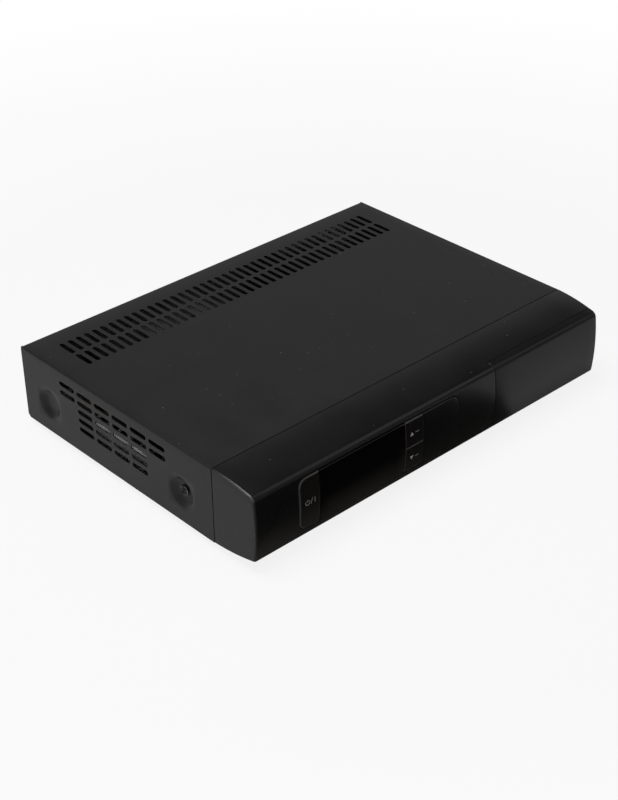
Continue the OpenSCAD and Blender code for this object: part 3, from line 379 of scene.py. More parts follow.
# Circuit board: solder mask, paler tracks where bent bands and a noise are both high, and tinned pads
def boardLook(place, mask, track, pad, gloss, bends=70.0, scale=130.0, distortion=5.0, detail=0.4,
              least=(0.72, 0.47), pads=190.0, padSize=0.16, padMetal=0.8, spread=(0.05, 0.08), depth=3e-05,
              strength=0.4):
    bent = noise(place, bends, detail=1.0)
    bands = waves(place, scale, distortion, "DIAGONAL", **{"Detail": 0.0, "Detail Scale": detail})
    tracks = times(math2("GREATER_THAN", bands, least[0]), math2("GREATER_THAN", bent, least[1]))
    cells = addNode("ShaderNodeTexVoronoi", {"Vector": place, "Scale": pads}).node.outputs
    dots = math2("LESS_THAN", cells["Distance"], padSize)
    return {"Base Color": blend(dots, blend(tracks, mask, track), pad), "Metallic": times(dots, padMetal),
            "Roughness": uneven(bent, gloss, spread), "Normal": bump(tracks, depth, strength)}


# Two tones in bands: sleeves, tape windings, wires and flat cable
def bandedLook(place, tones, scale, axis, gloss, distortion=0.4, grain=1500.0, spread=(0.04, 0.06),
               depth=4e-05, strength=0.5):
    bands = waves(place, scale, distortion, axis)
    return {"Base Color": blend(bands, *tones), "Normal": bump(bands, depth, strength),
            "Roughness": uneven(noise(place, grain, detail=2.0), gloss, spread)}


# Jacks in rows: plated sleeves, and collars coloured by the row's height
def jackLook(place, node, sleeve, colours, collar=1.2, gloss=(0.22, 0.36), grain=900.0, depth=4e-06):
    low, high = (corner[2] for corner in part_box(node))
    colour = colours[0]
    for row, tone in enumerate(colours[1:], 1):
        above = math2("GREATER_THAN", axisOf(place, 2), low + row * (high - low) / len(colours))
        colour = blend(above, colour, tone)
    bare = math2("GREATER_THAN", axisOf(place, 1), (coverHigh[1] + collar) / perMetre)
    fine = noise(place, grain, detail=2.0)
    return {"Base Color": blend(bare, colour, sleeve), "Metallic": bare, "Roughness": span(fine, *gloss),
            "Normal": bump(fine, depth)}


# A paint's rim tone is a painted highlight on edges; on the screws it is wear with painted glints
paints = {
    "coverPaint": {"tones": ((0.0062, 0.0060, 0.0061), (0.0126, 0.0123, 0.0124)), "gloss": 0.40,
                   "grain": 2600.0, "depth": 2e-05, "dust": 0.8, "mirror": 0.35},
    # The bezel's lightening of what faces up is painted light
    "bezelPlastic": {"tones": ((0.0032, 0.0032, 0.0033), (0.0044, 0.0043, 0.0043)), "gloss": 0.28,
                     "grain": 4200.0, "depth": 5e-06, "dust": 0.6, "mirror": 0.40,
                     "rim": (0.12, 0.12, 0.12), "film": 0.009},
    "flapPlastic": {"tones": ((0.0040, 0.0040, 0.0041), (0.0054, 0.0053, 0.0053)), "gloss": 0.32,
                    "grain": 4200.0, "depth": 5e-06, "dust": 0.6, "mirror": 0.32, "rim": (0.12, 0.12, 0.12)},
    "keyPlastic": {"tones": ((0.0060, 0.0049, 0.0045), (0.0076, 0.0062, 0.0057)), "gloss": 0.20,
                   "grain": 4200.0, "depth": 4e-06, "mirror": 0.43, "rim": (0.110, 0.103, 0.098)},
    "legendInk": {"tones": ((0.32, 0.31, 0.31), (0.38, 0.37, 0.37)), "gloss": 0.5, "grain": 3000.0,
                  "depth": 6e-06},
    "footRubber": {"tones": ((0.016, 0.016, 0.016), (0.024, 0.024, 0.023)), "gloss": 0.8, "grain": 1800.0,
                   "depth": 6e-05, "mirror": 0.3},
    "socketBlack": {"tones": ((0.012, 0.012, 0.0125), (0.018, 0.018, 0.018)), "gloss": 0.46,
                    "grain": 2400.0, "depth": 2e-05},
    "screwBlack": {"tones": ((0.003, 0.003, 0.003), (0.006, 0.006, 0.006)), "gloss": 0.15, "grain": 1400.0,
                   "depth": 3e-06, "mirror": 0.25, "rim": (0.34, 0.33, 0.32)},
    "magnetDark": {"tones": ((0.045, 0.045, 0.048), (0.07, 0.07, 0.072)), "gloss": 0.5, "grain": 1500.0,
                   "depth": 3e-05},
    "displayGlass": {"tones": ((0.030, 0.042, 0.044), (0.045, 0.058, 0.060)), "gloss": 0.12, "grain": 600.0,
                     "depth": 2e-06}}
# The pane's second tone is the brown of its painted reflection
panes = {"windowSmoke": {"node": "display_window", "gloss": 0.08, "mirror": 0.36,
                         "tones": ((0.0005, 0.0003, 0.0004), (0.0030, 0.0026, 0.0022))}}
metals = {
    "platedSteel": {"tones": ((0.50, 0.51, 0.52), (0.60, 0.61, 0.62)), "gloss": 0.36, "grain": 220.0},
    "screwZinc": {"tones": ((0.56, 0.56, 0.55), (0.66, 0.66, 0.64)), "gloss": 0.30},
    "socketShell": {"tones": ((0.62, 0.62, 0.63), (0.70, 0.70, 0.70)), "gloss": 0.26},
    "contactBrass": {"tones": ((0.70, 0.66, 0.56), (0.78, 0.74, 0.64)), "gloss": 0.24},
    "sinkAluminium": {"tones": ((0.86, 0.87, 0.88), (0.93, 0.94, 0.95)), "gloss": 0.46,
                      "stretch": (1.0, 0.04, 1.0)},
    # Dark tone on the heat sink's fins: painted shade, the fins being the same aluminium as its plate
    "sinkDark": {"tones": ((0.05, 0.05, 0.055), (0.075, 0.075, 0.08)), "gloss": 0.42,
                 "stretch": (1.0, 0.05, 1.0)}}
# The boards' tones are darkened below their own colour as painted shade inside the closed case
boards = {
    "signalBoard": {"mask": (0.015, 0.019, 0.016), "track": (0.021, 0.026, 0.022), "pad": (0.30, 0.29, 0.27),
                    "gloss": 0.40},
    "supplyBoard": {"mask": (0.016, 0.012, 0.009), "track": (0.024, 0.018, 0.013), "pad": (0.22, 0.21, 0.19),
                    "gloss": 0.5}}
banded = {
    "capacitorSleeve": {"tones": ((0.010, 0.012, 0.030), (0.014, 0.017, 0.040)), "scale": 90.0, "axis": "X",
                        "gloss": 0.3},
    # The coil tape is darkened below its own colour as painted shade inside the case
    "coilTape": {"tones": ((0.060, 0.034, 0.010), (0.085, 0.048, 0.014)), "scale": 220.0, "axis": "Z",
                 "gloss": 0.36},
    "wireSleeve": {"tones": ((0.16, 0.055, 0.022), (0.20, 0.07, 0.03)), "scale": 60.0, "axis": "Y",
                   "gloss": 0.4},
    "ribbonGrey": {"tones": ((0.44, 0.44, 0.43), (0.55, 0.55, 0.53)), "scale": 390.0, "axis": "X",
                   "gloss": 0.5}}
jacks = {"phonoJacks": {"node": "phono_block", "sleeve": (0.78, 0.77, 0.72),
                        "colours": ((0.42, 0.02, 0.02), (0.62, 0.61, 0.58), (0.62, 0.42, 0.02))}}
finishes = {name: makeFinish(name, look, **values)
            for look, table in ((paintLook, paints), (paneLook, panes), (metalLook, metals),
                                (boardLook, boards), (bandedLook, banded), (jackLook, jacks))
            for name, values in table.items()}


# A slot's own finish has the slot's two words as its name
def finishOf(slot):
    first, second = slot.split("_")
    return first + second.capitalize()


# Cover: a folded sheet with two rows of slots on top, five rows in each side and pressed dishes;
# lineX, lineY and lineZ are extra lines of its grids
cover = {"sheet": 0.8, "fold": 1.6, "lip": 9.0, "corner": 2.5, "foldSteps": 6, "lipSteps": 2, "edge": 0.22,
         "lineX": 160.0, "lineY": 8.0, "lineZ": 6.0}
vent = {"width": 3.6, "length": 17.0, "pitch": 7.2, "row": 20.0, "lead": 0.5, "topRows": 2, "topCount": 42,
        "topRear": 25.6, "sideRows": 5, "sideCount": 6, "fullRows": 2, "sideTop": 10.2, "sideRear": 54.0,
        "cell": (-1, -0.85, -0.65, -0.325, 0, 0.325, 0.65, 0.85, 1)}
dish = {"rim": 12.3, "floor": 6.0, "depth": 3.5, "up": 24.0, "front": 32.0, "rear": 30.0, "block": 14.7,
        "rings": 18, "lead": 1.25, "bored": (3.0, 1.55), "blank": (2.0, 0.0),
        "cell": (-1, -0.72, -0.45, -0.2, 0, 0.2, 0.45, 0.72, 1)}


# A slot is a spine with half its width around it; the lead ring keeps the sheet flat beside it
def slotCuts(centres, turned):
    along = (vent["length"] - vent["width"]) / 2
    reach = np.array([along, 0.0] if turned else [0.0, along])
    block = np.array([vent["row"], vent["pitch"]] if turned else [vent["pitch"], vent["row"]]) / 2
    radii = vent["width"] / 2 + np.array([vent["lead"], 0.0])
    return [{"centre": np.array(centre), "block": block, "reach": reach, "radii": radii,
             "depths": np.zeros(2)} for centre in centres]


# A bowl: its depth is the sine of a quarter turn times a power of the share of the way from rim to floor
def dishCut(y, inner):
    radii = np.linspace(dish["rim"], dish["floor"], dish["rings"])
    share = (dish["rim"] - radii) / (dish["rim"] - dish["floor"])
    depths = dish["depth"] * np.sin(np.pi / 2 * share ** dish["lead"])
    return {"centre": np.array([y, dish["up"]]), "block": np.full(2, dish["block"]), "reach": np.zeros(2),
            "radii": np.concatenate([radii, inner]), "depths": np.append(depths, [dish["depth"]] * 2)}


# Grid lines in order, each once, from single lines and from cells round their middles
def gridLines(single, *cells):
    lines = [np.ravel(np.reshape(middles, (-1, 1)) + np.array(cell)) for middles, cell in cells]
    return np.unique(np.round(np.concatenate([single, *lines]), 4))


# Flat top and sides on grids with cuts, quarter-round folds between them, and a folded lip at the rear
def makeCover():
    sheet = newSheet()
    thick, fold = cover["sheet"], cover["fold"]
    side = half - fold
    slotCell, dishCell = np.array(vent["cell"]) * vent["row"] / 2, np.array(dish["cell"]) * dish["block"]
    quarter = np.arange(-2, 3) * vent["pitch"] / 4
    topRows = coverD - vent["topRear"] - vent["row"] * np.arange(vent["topRows"])
    columns = coverD - vent["sideRear"] - vent["row"] * np.arange(vent["sideCount"])
    dishes = np.array([dish["front"], coverD - dish["rear"]])
    middles = (np.arange(vent["topCount"]) - (vent["topCount"] - 1) / 2) * vent["pitch"]
    ups = coverH - vent["sideTop"] - vent["pitch"] * np.arange(vent["sideRows"])
    x = gridLines([-side, -cover["lineX"], cover["lineX"], side], (middles, quarter))
    y = gridLines([0, cover["lineY"], coverD - fold], (topRows, slotCell), (columns, slotCell),
                  (dishes, dishCell))
    yAll = np.append(y, coverD)
    z = gridLines([0, cover["corner"], cover["lineZ"], coverH - fold], (ups, quarter),
                  (dish["up"], dishCell[:2]))

    def topLift(uv, level):
        return asPoints(uv[:, 0], uv[:, 1], coverH - level)

    gridWithCuts(sheet, x, y, slotCuts([(m, row) for row in topRows for m in middles], False), topLift, thick)
    slots = [(column, up) for row, up in enumerate(ups)
             for column in (columns if row < vent["fullRows"] else columns[1:-1])]
    cuts = slotCuts(slots, True) + [dishCut(dishes[0], dish["bored"]), dishCut(dishes[1], dish["blank"])]
    turn = quarterTurn(cover["foldSteps"])[:, None]
    folds = [((fold - inset) * np.sin(turn), coverH - fold + (fold - inset) * np.cos(turn))
             for inset in (0, thick)]
    for way in (-1, 1):
        def sideLift(uv, level):
            cutBack = np.minimum(uv[:, 0], coverD - cover["corner"] + uv[:, 1])
            return asPoints(way * (half - level), cutBack, uv[:, 1])

        gridWithCuts(sheet, yAll, z, cuts, sideLift, thick)
        skins = [asPoints(way * (side + out), yAll, up) for out, up in folds]
        addPatch(sheet, *skins)
    lipSteps = cover["lipSteps"]
    lipZ = np.linspace(coverH - fold, coverH - cover["lip"], lipSteps + 1)[1:, None]
    skins = [asPoints(x, np.concatenate([coverD - fold + out, np.full((lipSteps, 1), coverD - inset)]),
                      np.concatenate([up, lipZ])) for (out, up), inset in zip(folds, (0, thick))]
    addPatch(sheet, *skins)
    points, faces, _ = closeSheet(sheet)
    makePiece("coverSheet", points, faces, "case", "cover_paint", ["top_cover"], cover["edge"])


# Screws in the dishes: a turned head with a cross sunk into it, and its shank
dishScrew = {"head": 4.0, "high": 2.0, "dome": 0.7, "edge": 0.4, "shank": 1.5, "long": 4.8, "arm": 2.3,
             "slot": 0.6, "sink": 1.3, "soft": 0.22, "fade": 0.4, "turned": 0.5, "around": 96,
             "crownRings": 28, "edgeSteps": 5, "sharp": 60.0}


# Over the radius: a dome falling by its square, a rounded edge, then wall, underside, shank and tip;
# the cross is sunk by a smooth step of the distance inside the nearer arm, less so away from the middle.
# Wear with painted glints is highest half-way up that step; both screws take it in the right one's order of
# points, so on the left one it is scattered over the head
def makeDishScrews():
    head, edge, shank, arm, slot = (dishScrew[key] for key in ("head", "edge", "shank", "arm", "slot"))
    crown = np.linspace(0, head - edge, dishScrew["crownRings"])
    crownH = dishScrew["high"] - dishScrew["dome"] * (crown / head) ** 2
    turn = quarterTurn(dishScrew["edgeSteps"])[1:]
    radius = np.concatenate([crown, head - edge + edge * np.sin(turn), [head, shank, shank, 0]])
    tip = -dishScrew["long"]
    height = np.concatenate([crownH, crownH[-1] - edge * (1 - np.cos(turn)), [0, 0, tip, tip]])
    angle = roundTurn(dishScrew["around"])
    u, v = (np.abs(radius[:, None] * wave(angle)) for wave in (np.cos, np.sin))
    inside = np.maximum(np.minimum(slot - u, arm - v), np.minimum(slot - v, arm - u))
    onCrown = np.arange(len(radius))[:, None] < len(crown)
    step = np.clip(inside / dishScrew["soft"] + 0.5, 0, 1) * onCrown
    sunk = dishScrew["sink"] * step * step * (3 - 2 * step) * (1 - dishScrew["fade"] * np.hypot(u, v) / arm)
    out = half - dish["depth"] + height[:, None] - sunk
    forms = [turnedForm((dish["front"], dish["up"]), radius, way * out, angle + dishScrew["turned"])
             for way in (-1, 1)]
    piece = makePiece("dishScrews", *joinForms(*(form[:2] for form in forms)), "case", "screw_black",
                      ["cover_side_screws"], 0.0, dishScrew["sharp"])
    # Worn bare on the cross's edges, painted pale there as glints
    bare = (4 * step * (1 - step)).ravel()
    setWearAndPaintedHighlight(piece, np.tile(bare[forms[1][2]], 2))


makeCover()
makeDishScrews()
print("cover made")

# Bezel and flap share one side view of five arcs: top, shoulder, front, chin and bottom. The end's edge and
# painted highlight are given at the top's back, the four bends between the arcs and the bottom's back.
shape = {"depth": 40.5, "wall": 2.4, "topR": 155.0, "frontR": 160.0, "bottomR": 165.0, "shoulderR": 5.0,
         "chinR": 3.0, "frontMid": 27.5, "taper": 1.6, "seamGap": 0.5, "soft": 0.3, "endSteps": 6,
         "endEdge": (1.3, 1.3, 1.7, 1.7, 1.0, 1.0), "leastEdge": 0.05,
         "worn": (0.1, 1.0, 0.12, 0.05, 0.05, 0.1), "roundSteps": 12, "frontStops": (43, 25, 17),
         "frontSteps": (9, 6, 6, 9), "backSteps": (10, 3, 2),
         "cheekStops": (0.0, 0.7, 1.0), "cheekSteps": (7, 35), "leftX": (-156, -145), "rightX": (33, 45),
         "flapX": (80, 104, 128, 150)}
flap = {"x": 56.0, "back": 31.0, "gap": 0.3, "hinge": (-33.5, 9.3), "disc": 7.5, "lip": -33.5, "swing": -26.0,
        "edge": 0.35, "topSteps": 4, "lipSteps": 2, "skinX": (72, 90, 108, 126, 144, 158), "post": 0.6,
        "postSunk": 2.0, "postSides": 40, "lug": 3.2, "bore": 1.3, "lugX": (161.8, 164.6, 167.2),
        "lugSides": 48, "flange": (2.0, 8.3), "flangeX": (164.9, 166.0), "flangeTurn": (-46, 25),
        "flangeSteps": 24}
wall = shape["wall"]
hinge = np.array(flap["hinge"])


# From the first centre along the line of centres to the chord, then square to it
def circleMeet(first, firstR, second, secondR, way=1):
    apart = second - first
    length = np.hypot(*apart)
    along = (length ** 2 + firstR ** 2 - secondR ** 2) / (2 * length)
    off = math.sqrt(firstR ** 2 - along ** 2)
    square = np.array([-apart[1], apart[0]]) / length
    return first + apart / length * along + way * off * square


# Angle of the way from start to end, from 0 to a full turn
def bearing(start, end):
    return math.atan2(*(end - start)[::-1]) % (2 * math.pi)


arcRadii = [shape[key] for key in ("topR", "shoulderR", "frontR", "chinR", "bottomR")]
topR, shoulderR, frontR, chinR, bottomR = arcRadii
topC = np.array([0.0, coverH - topR])
frontC = np.array([frontR - shape["depth"], shape["frontMid"]])
bottomC = np.array([0.0, bottomR])
shoulderC = circleMeet(topC, topR - shoulderR, frontC, frontR - shoulderR)
chinC = circleMeet(frontC, frontR - chinR, bottomC, bottomR - chinR)
arcCentres = [topC, shoulderC, frontC, chinC, bottomC]
bends = [bearing(big, small) for big, small in ((topC, shoulderC), (frontC, shoulderC), (frontC, chinC),
                                                (bottomC, chinC))]


# Points along the side view from the top's back edge round the front to the bottom's back edge; a stop at
# None is where a circle round the hinge meets the bottom, so it differs for the inner skin
def profileRows(topStops, lowStops, disc):
    skins = []
    for inset in (0, wall):
        meet = circleMeet(hinge, disc, bottomC, bottomR - inset, -1)
        turned = bottomC[0] + (meet[0] - bottomC[0]) * bottomR / (bottomR - inset)
        skins.append(skinRows(topStops, [(turned if y is None else y, count) for y, count in lowStops]))
    return {**skins[0], "inner": skins[1]}


# Each row is centre + radius x direction, with the direction kept as its normal
def skinRows(topStops, lowStops):
    top = [math.acos(y / topR) for y, _ in topStops] + bends[:1]
    front = [math.pi - math.asin((z - frontC[1]) / frontR) for z in shape["frontStops"]]
    low = bends[3:] + [2 * math.pi - math.acos(y / bottomR) for y, _ in lowStops]
    steps = [shape["roundSteps"]]
    angles = [through(top, [count for _, count in topStops]), through(bends[:2], steps)[1:],
              through([bends[1], *front, bends[2]], shape["frontSteps"])[1:], through(bends[2:], steps)[1:],
              through(low, [count for _, count in lowStops])[1:]]
    normals = [asPoints(np.cos(angle), np.sin(angle)) for angle in angles]
    points = [centre + radius * normal for centre, radius, normal in zip(arcCentres, arcRadii, normals)]
    every = np.concatenate(angles)
    turns = [math.pi / 2, *bends, 1.5 * math.pi]
    last = np.cumsum([len(angle) for angle in angles]) - 1
    return {"point": np.concatenate(points), "normal": np.concatenate(normals),
            "edge": np.interp(every, turns, shape["endEdge"]), "worn": np.interp(every, turns, shape["worn"]),
            "front": last[1], "mid": last[1] + sum(shape["frontSteps"]) // 2, "chin": last[2]}


# The bezel's ends lean in towards the front
def leaning(way):
    return lambda y: way * (half - shape["taper"] * -y / shape["depth"])


# A quarter round along each row at an end: in by radius x (1 - cos), out to the end by radius x (1 - sin)
def endRound(rows, end, way, inset, edge=None):
    rows = rows["inner"] if inset else rows
    radius = np.maximum((rows["edge"] if edge is None else edge) - inset, shape["leastEdge"])
    turn = quarterTurn(shape["endSteps"])[:, None]
    inward = inset + radius * (1 - np.cos(turn))
    side = rows["point"] - rows["normal"] * inward[..., None]
    x = end(side[..., 0]) - way * (inset + radius * (1 - np.sin(turn)))
    return np.concatenate([x[..., None], side], axis=-1)


# Where the skin stops and the end's round starts: an x for each row, of both skins
def roundStart(rows, end, way, edge=None):
    return [endRound(rows, end, way, inset, edge)[0, :, 0] for inset in (0, wall)]


# The skin over rows between columns; a column is a number, or both skins' x for each row
def addSkin(sheet, rows, part, columns):
    skins = []
    for index, used in enumerate((rows, rows["inner"])):
        side = (used["point"] - used["normal"] * (0, wall)[index])[part]
        chosen = [column[index] if isinstance(column, list) else column for column in columns]
        x = asPoints(*(np.broadcast_to(column, len(rows["edge"]))[part] for column in chosen))
        skins.append(asPoints(x, side[:, :1], side[:, 1:]))
    addPatch(sheet, *skins)


# The end's round takes the most painted highlight half-way round: by the sine of twice the turn
def addEnd(sheet, rows, part, end, way, edge=None):
    skins = [endRound(rows, end, way, inset, edge)[:, part] for inset in (0, wall)]
    swell = np.sin(2 * quarterTurn(shape["endSteps"]))[:, None]
    worn = swell * rows["worn"][part] * (edge is None)
    addPatch(sheet, *skins, worn=worn)


# An end wall: straight lines from the upper to the lower rows, its back edge moved to where back says
def addCheek(sheet, rows, upper, lower, end, way, edge=None, back=None, fixedFront=True):
    level = through(shape["cheekStops"], shape["cheekSteps"])[:, None, None]
    skins = []
    for inset in (0, wall):
        border = endRound(rows, end, way, inset, edge)[-1]
        cheek = border[upper] + (border[lower] - border[upper]) * level
        if back is not None:
            still, moved = (-1, 0) if fixedFront else (0, -1)
            keep, was = cheek[:, still, 1][:, None], cheek[:, moved, 1][:, None]
            target = back(cheek[:, moved, 2])[:, None]
            target[0], target[-1] = was[0], was[-1]
            cheek[..., 1] = keep + (cheek[..., 1] - keep) * (target - keep) / (was - keep)
        cheek[..., 0] = end(cheek[..., 1]) - way * inset
        skins.append(cheek)
    addPatch(sheet, *skins)


# Where an edge that follows the flap's disc lies at a height: straight at line, or round the hinge
def discEdge(line, radius):
    def back(z):
        arc = np.sqrt(np.maximum(radius ** 2 - (z - hinge[1]) ** 2, 0))
        return np.maximum(line, np.where(arc > 0, hinge[0] + arc, line))
    return back


# Front surface over x and z: the front arc, moved in along its normal
def frontLift(xz, level):
    rise = (xz[:, 1] - frontC[1]) / frontR
    radius = frontR - level
    return asPoints(xz[:, 0], frontC[0] - radius * np.sqrt(1 - rise ** 2), frontC[1] + radius * rise)


# The opening for the insert's pieces, from their boxes; fine lines of the skin stand round its corners
insert = {"gap": 0.5, "round": 7.0, "margin": 3.0, "lead": 0.5, "coarse": 20.0, "coarseCount": 10,
          "fine": (0, 1.1, 2.2, 3.3, 4.4, 5.6, 7, 8.5, 10)}
insertLow = np.array([nodeBox("power_button")[0][0], nodeBox("display_window")[0][2]])
insertHigh = np.array([nodeBox("infill_panel")[1][0], nodeBox("display_window")[1][2]])


# Skin to the left, over, under and to the right of the opening, and behind the flap; then both ends
def makeBezel():
    sheet = newSheet()
    toSwing, toFlap, toBend = shape["backSteps"]
    back, disc = -flap["back"], flap["disc"]
    rows = profileRows([(-shape["seamGap"], toSwing), (flap["swing"], toFlap), (back, toBend)],
                       [(None, toBend), (flap["swing"], toFlap), (-shape["seamGap"], toSwing)], disc)
    count, mid = len(rows["edge"]), rows["mid"]
    behind = toSwing + toFlap + 1
    left, right = leaning(-1), leaning(1)
    leftX, rightX = roundStart(rows, left, -1), roundStart(rows, right, 1)
    low, high = insertLow - insert["gap"], insertHigh + insert["gap"]
    fine = np.array(insert["fine"]) - insert["margin"]
    blockX = np.concatenate([low[0] + fine, np.linspace(low[0] + insert["coarse"], high[0] - insert["coarse"],
                                                        insert["coarseCount"]), high[0] - fine[::-1]])
    addSkin(sheet, rows, slice(None), [leftX, *shape["leftX"], blockX[0]])
    addSkin(sheet, rows, slice(0, rows["front"] + 1), blockX)
    addSkin(sheet, rows, slice(rows["chin"], count), blockX)
    addSkin(sheet, rows, slice(None), [blockX[-1], *shape["rightX"], flap["x"]])
    blockZ = rows["point"][rows["front"]:rows["chin"] + 1, 1][::-1]
    opening = {"centre": (low + high) / 2, "block": np.array([np.ptp(blockX), np.ptp(blockZ)]),
               "reach": (high - low) / 2 - insert["round"],
               "radii": insert["round"] + np.array([insert["lead"], 0.0]), "depths": np.zeros(2)}
    addRings(sheet, blockX, blockZ, opening, frontLift, wall)
    overFlap = [flap["x"], *shape["flapX"], rightX]
    addSkin(sheet, rows, slice(0, behind), overFlap)
    addSkin(sheet, rows, slice(count - toSwing - 1, count), overFlap)
    addEnd(sheet, rows, slice(None), left, -1)
    addCheek(sheet, rows, np.arange(mid + 1), np.arange(count - 1, mid - 1, -1), left, -1)
    addEnd(sheet, rows, slice(0, behind), right, 1)
    addEnd(sheet, rows, slice(count - behind, count), right, 1)
    addCheek(sheet, rows, np.arange(behind), np.arange(count - 1, count - behind - 1, -1), right, 1,
             back=discEdge(back, disc), fixedFront=False)
    points, faces, worn = closeSheet(sheet)
    piece = makePiece("bezelShell", points, faces, "case", "bezel_plastic", ["front_bezel"], shape["soft"])
    setWearAndPaintedHighlight(piece, worn)


# Skin from the flap's upper edge to its lip, a cap on the left and the leaning end with its disc on the
# right; inside it the keeper's post, the lug with the hinge's bore, and the flange behind the disc's gap
def makeFlap():
    sheet = newSheet()
    disc, line = flap["disc"] - flap["gap"], -flap["back"] - flap["gap"]
    lipSteps, edge = flap["lipSteps"], flap["edge"]
    rows = profileRows([(line, flap["topSteps"])], [(flap["lip"], lipSteps), (None, lipSteps)], disc)
    count, mid = len(rows["edge"]), rows["mid"]
    toLip = slice(0, count - lipSteps)
    upper, lower = np.arange(mid + 1), np.arange(count - 1, mid - 1, -1)
    right = leaning(1)

    def cap(y):
        return np.full(np.shape(y), flap["x"] + flap["gap"])

    addSkin(sheet, rows, toLip, [roundStart(rows, cap, -1, edge), *flap["skinX"], roundStart(rows, right, 1)])
    addEnd(sheet, rows, toLip, cap, -1, edge)
    addCheek(sheet, rows, upper[lipSteps:], lower[lipSteps:], cap, -1, edge)
    addEnd(sheet, rows, slice(None), right, 1)
    addCheek(sheet, rows, upper, lower, right, 1, back=discEdge(line, disc))
    points, faces, worn = closeSheet(sheet)
    low, high = nodeBox("flap_keeper")
    post = postForm(low[::2], high[::2], (frontC[0] - frontR + flap["postSunk"], low[1]), flap["post"])
    start, boreEnd, end = flap["lugX"]
    lug = turnedForm(hinge, np.repeat([0, flap["bore"], flap["lug"], 0], [1, 2, 2, 1]),
                     np.repeat([boreEnd, start, end], 2)[:, None], roundTurn(flap["lugSides"]))
    forms = joinForms((points, faces), post, lug[:2], flangeForm())
    piece = makePiece("flapShell", *forms, "flap", "bezel_plastic", ["flap_door"], shape["soft"],
                      finish="flapPlastic")
    setWearAndPaintedHighlight(piece, worn)


# Rounded block along y: a corner of a smaller rectangle, then outwards by the radius; closed at both ends
def postForm(low, high, ends, radius):
    middle, reach = (low + high) / 2, (high - low) / 2 - radius
    angle = roundTurn(flap["postSides"]) + np.pi / flap["postSides"]
    ways = asPoints(np.cos(angle), np.sin(angle))
    ring = middle + np.sign(ways) * reach + radius * ways
    side = np.stack(np.broadcast_arrays(middle, ring, ring, middle))
    y = np.repeat(ends, 2)[:, None]
    points = asPoints(side[..., 0], y, side[..., 1]).reshape(-1, 3)
    return weld(points, gridFaces(len(side), len(ring), wrap=True))[:2]


# A sector of a flat ring about the hinge's line
def flangeForm():
    angle = np.radians(np.linspace(*flap["flangeTurn"], flap["flangeSteps"] + 1))[:, None]
    radius, x = np.array(flap["flange"])[[0, 1, 1, 0]], np.repeat(flap["flangeX"], 2)
    points = asPoints(x, hinge[0] + radius * np.cos(angle), hinge[1] + radius * np.sin(angle)).reshape(-1, 3)
    caps = np.array([[0, 1, 2, 3], len(points) - np.array([4, 1, 2, 3])])
    return points, np.concatenate([gridFaces(len(angle), len(x), wrap=True), caps])


makeBezel()
makeFlap()
print("bezel and flap made")

# Insert: each piece is a cap over its cell with rounded edges, walls and a back as bowed as its face
keys = {"edge": 1.1, "paneEdge": 0.5, "split": 0.4, "between": 0.65, "edgeSteps": 7, "cornerSteps": 8,
        "across": 10, "upright": 6, "deep": 2.6, "set": -0.3, "sameEdge": 0.2, "sharp": 60.0,
        "infillRim": 0.2}


# The bowed face that the insert's pieces share, over x and z, moved forward by proud
def onKey(xz, proud):
    y = frontC[0] - np.sqrt(frontR ** 2 - (xz[..., 1] - frontC[1]) ** 2) + keys["set"] - proud
    return asPoints(xz[..., 0], y, xz[..., 1])


# Cell outline at an inset, less of it at splits: rows from low to high, corners follow the radius
def cellGrid(low, high, inset, roundLeft, roundRight):
    radius = insert["round"] - insert["gap"] - inset
    turn = quarterTurn(keys["cornerSteps"])
    rounded = [abs(low[2] - insertLow[1]) < keys["sameEdge"], abs(high[2] - insertHigh[1]) < keys["sameEdge"]]
    below, above = (inset if outer else inset * keys["between"] for outer in rounded)
    before, after = (inset if outer else inset * keys["split"] for outer in (roundLeft, roundRight))
    lowZ = low[2] + below + radius * (1 - np.cos(turn))
    highZ = high[2] - above - radius * (1 - np.cos(turn[::-1]))
    middle = np.linspace(lowZ[-1], highZ[0], keys["upright"] + 1)[1:-1]
    z = np.concatenate([lowZ, middle, highZ])[:, None]
    corner = radius * (1 - np.sin(turn))
    bite = np.concatenate([corner * rounded[0], np.zeros(len(middle)), corner[::-1] * rounded[1]])
    x0 = low[0] + before + bite * roundLeft
    x1 = high[0] - after - bite * roundRight
    share = np.linspace(0, 1, keys["across"] + 1)
    return asPoints(x0[:, None] + (x1 - x0)[:, None] * share, z)


# The face, then a loop for each step of the rounded edge, the wall and the back; its edge takes a painted
# highlight by the root of the depth below the face
def makeInsertPiece(name, node, body, slot, roundLeft=False, roundRight=False, edge=keys["edge"], rim=1.0):
    low, high = nodeBox(node)
    turn = quarterTurn(keys["edgeSteps"])
    insets = np.append(edge * (1 - np.sin(turn)), 0.0)
    depths = np.append(edge * (1 - np.cos(turn)), keys["deep"])
    grids = [cellGrid(low, high, inset, roundLeft, roundRight) for inset in insets]
    flat = gridFaces(*grids[0].shape[:2])
    front, back = (onKey(grids[end].reshape(-1, 2), -depths[end]) for end in (0, -1))
    loops = np.stack([onKey(borderOf(grid), -depth) for grid, depth in zip(grids, depths)])
    around = gridFaces(*loops.shape[:2], wrap=True)
    forms = joinForms((front, flat), (loops.reshape(-1, 3), around), (back, flat[:, ::-1]))
    points, faces, _ = weld(*forms)
    piece = makePiece(name, points, faces, body, slot, [node], 0.0, keys["sharp"])
    depth = points[:, 1] - onKey(points[:, ::2], 0.0)[:, 1]
    setWearAndPaintedHighlight(piece, rim * np.sqrt(np.clip(depth / edge, 0, 1)))


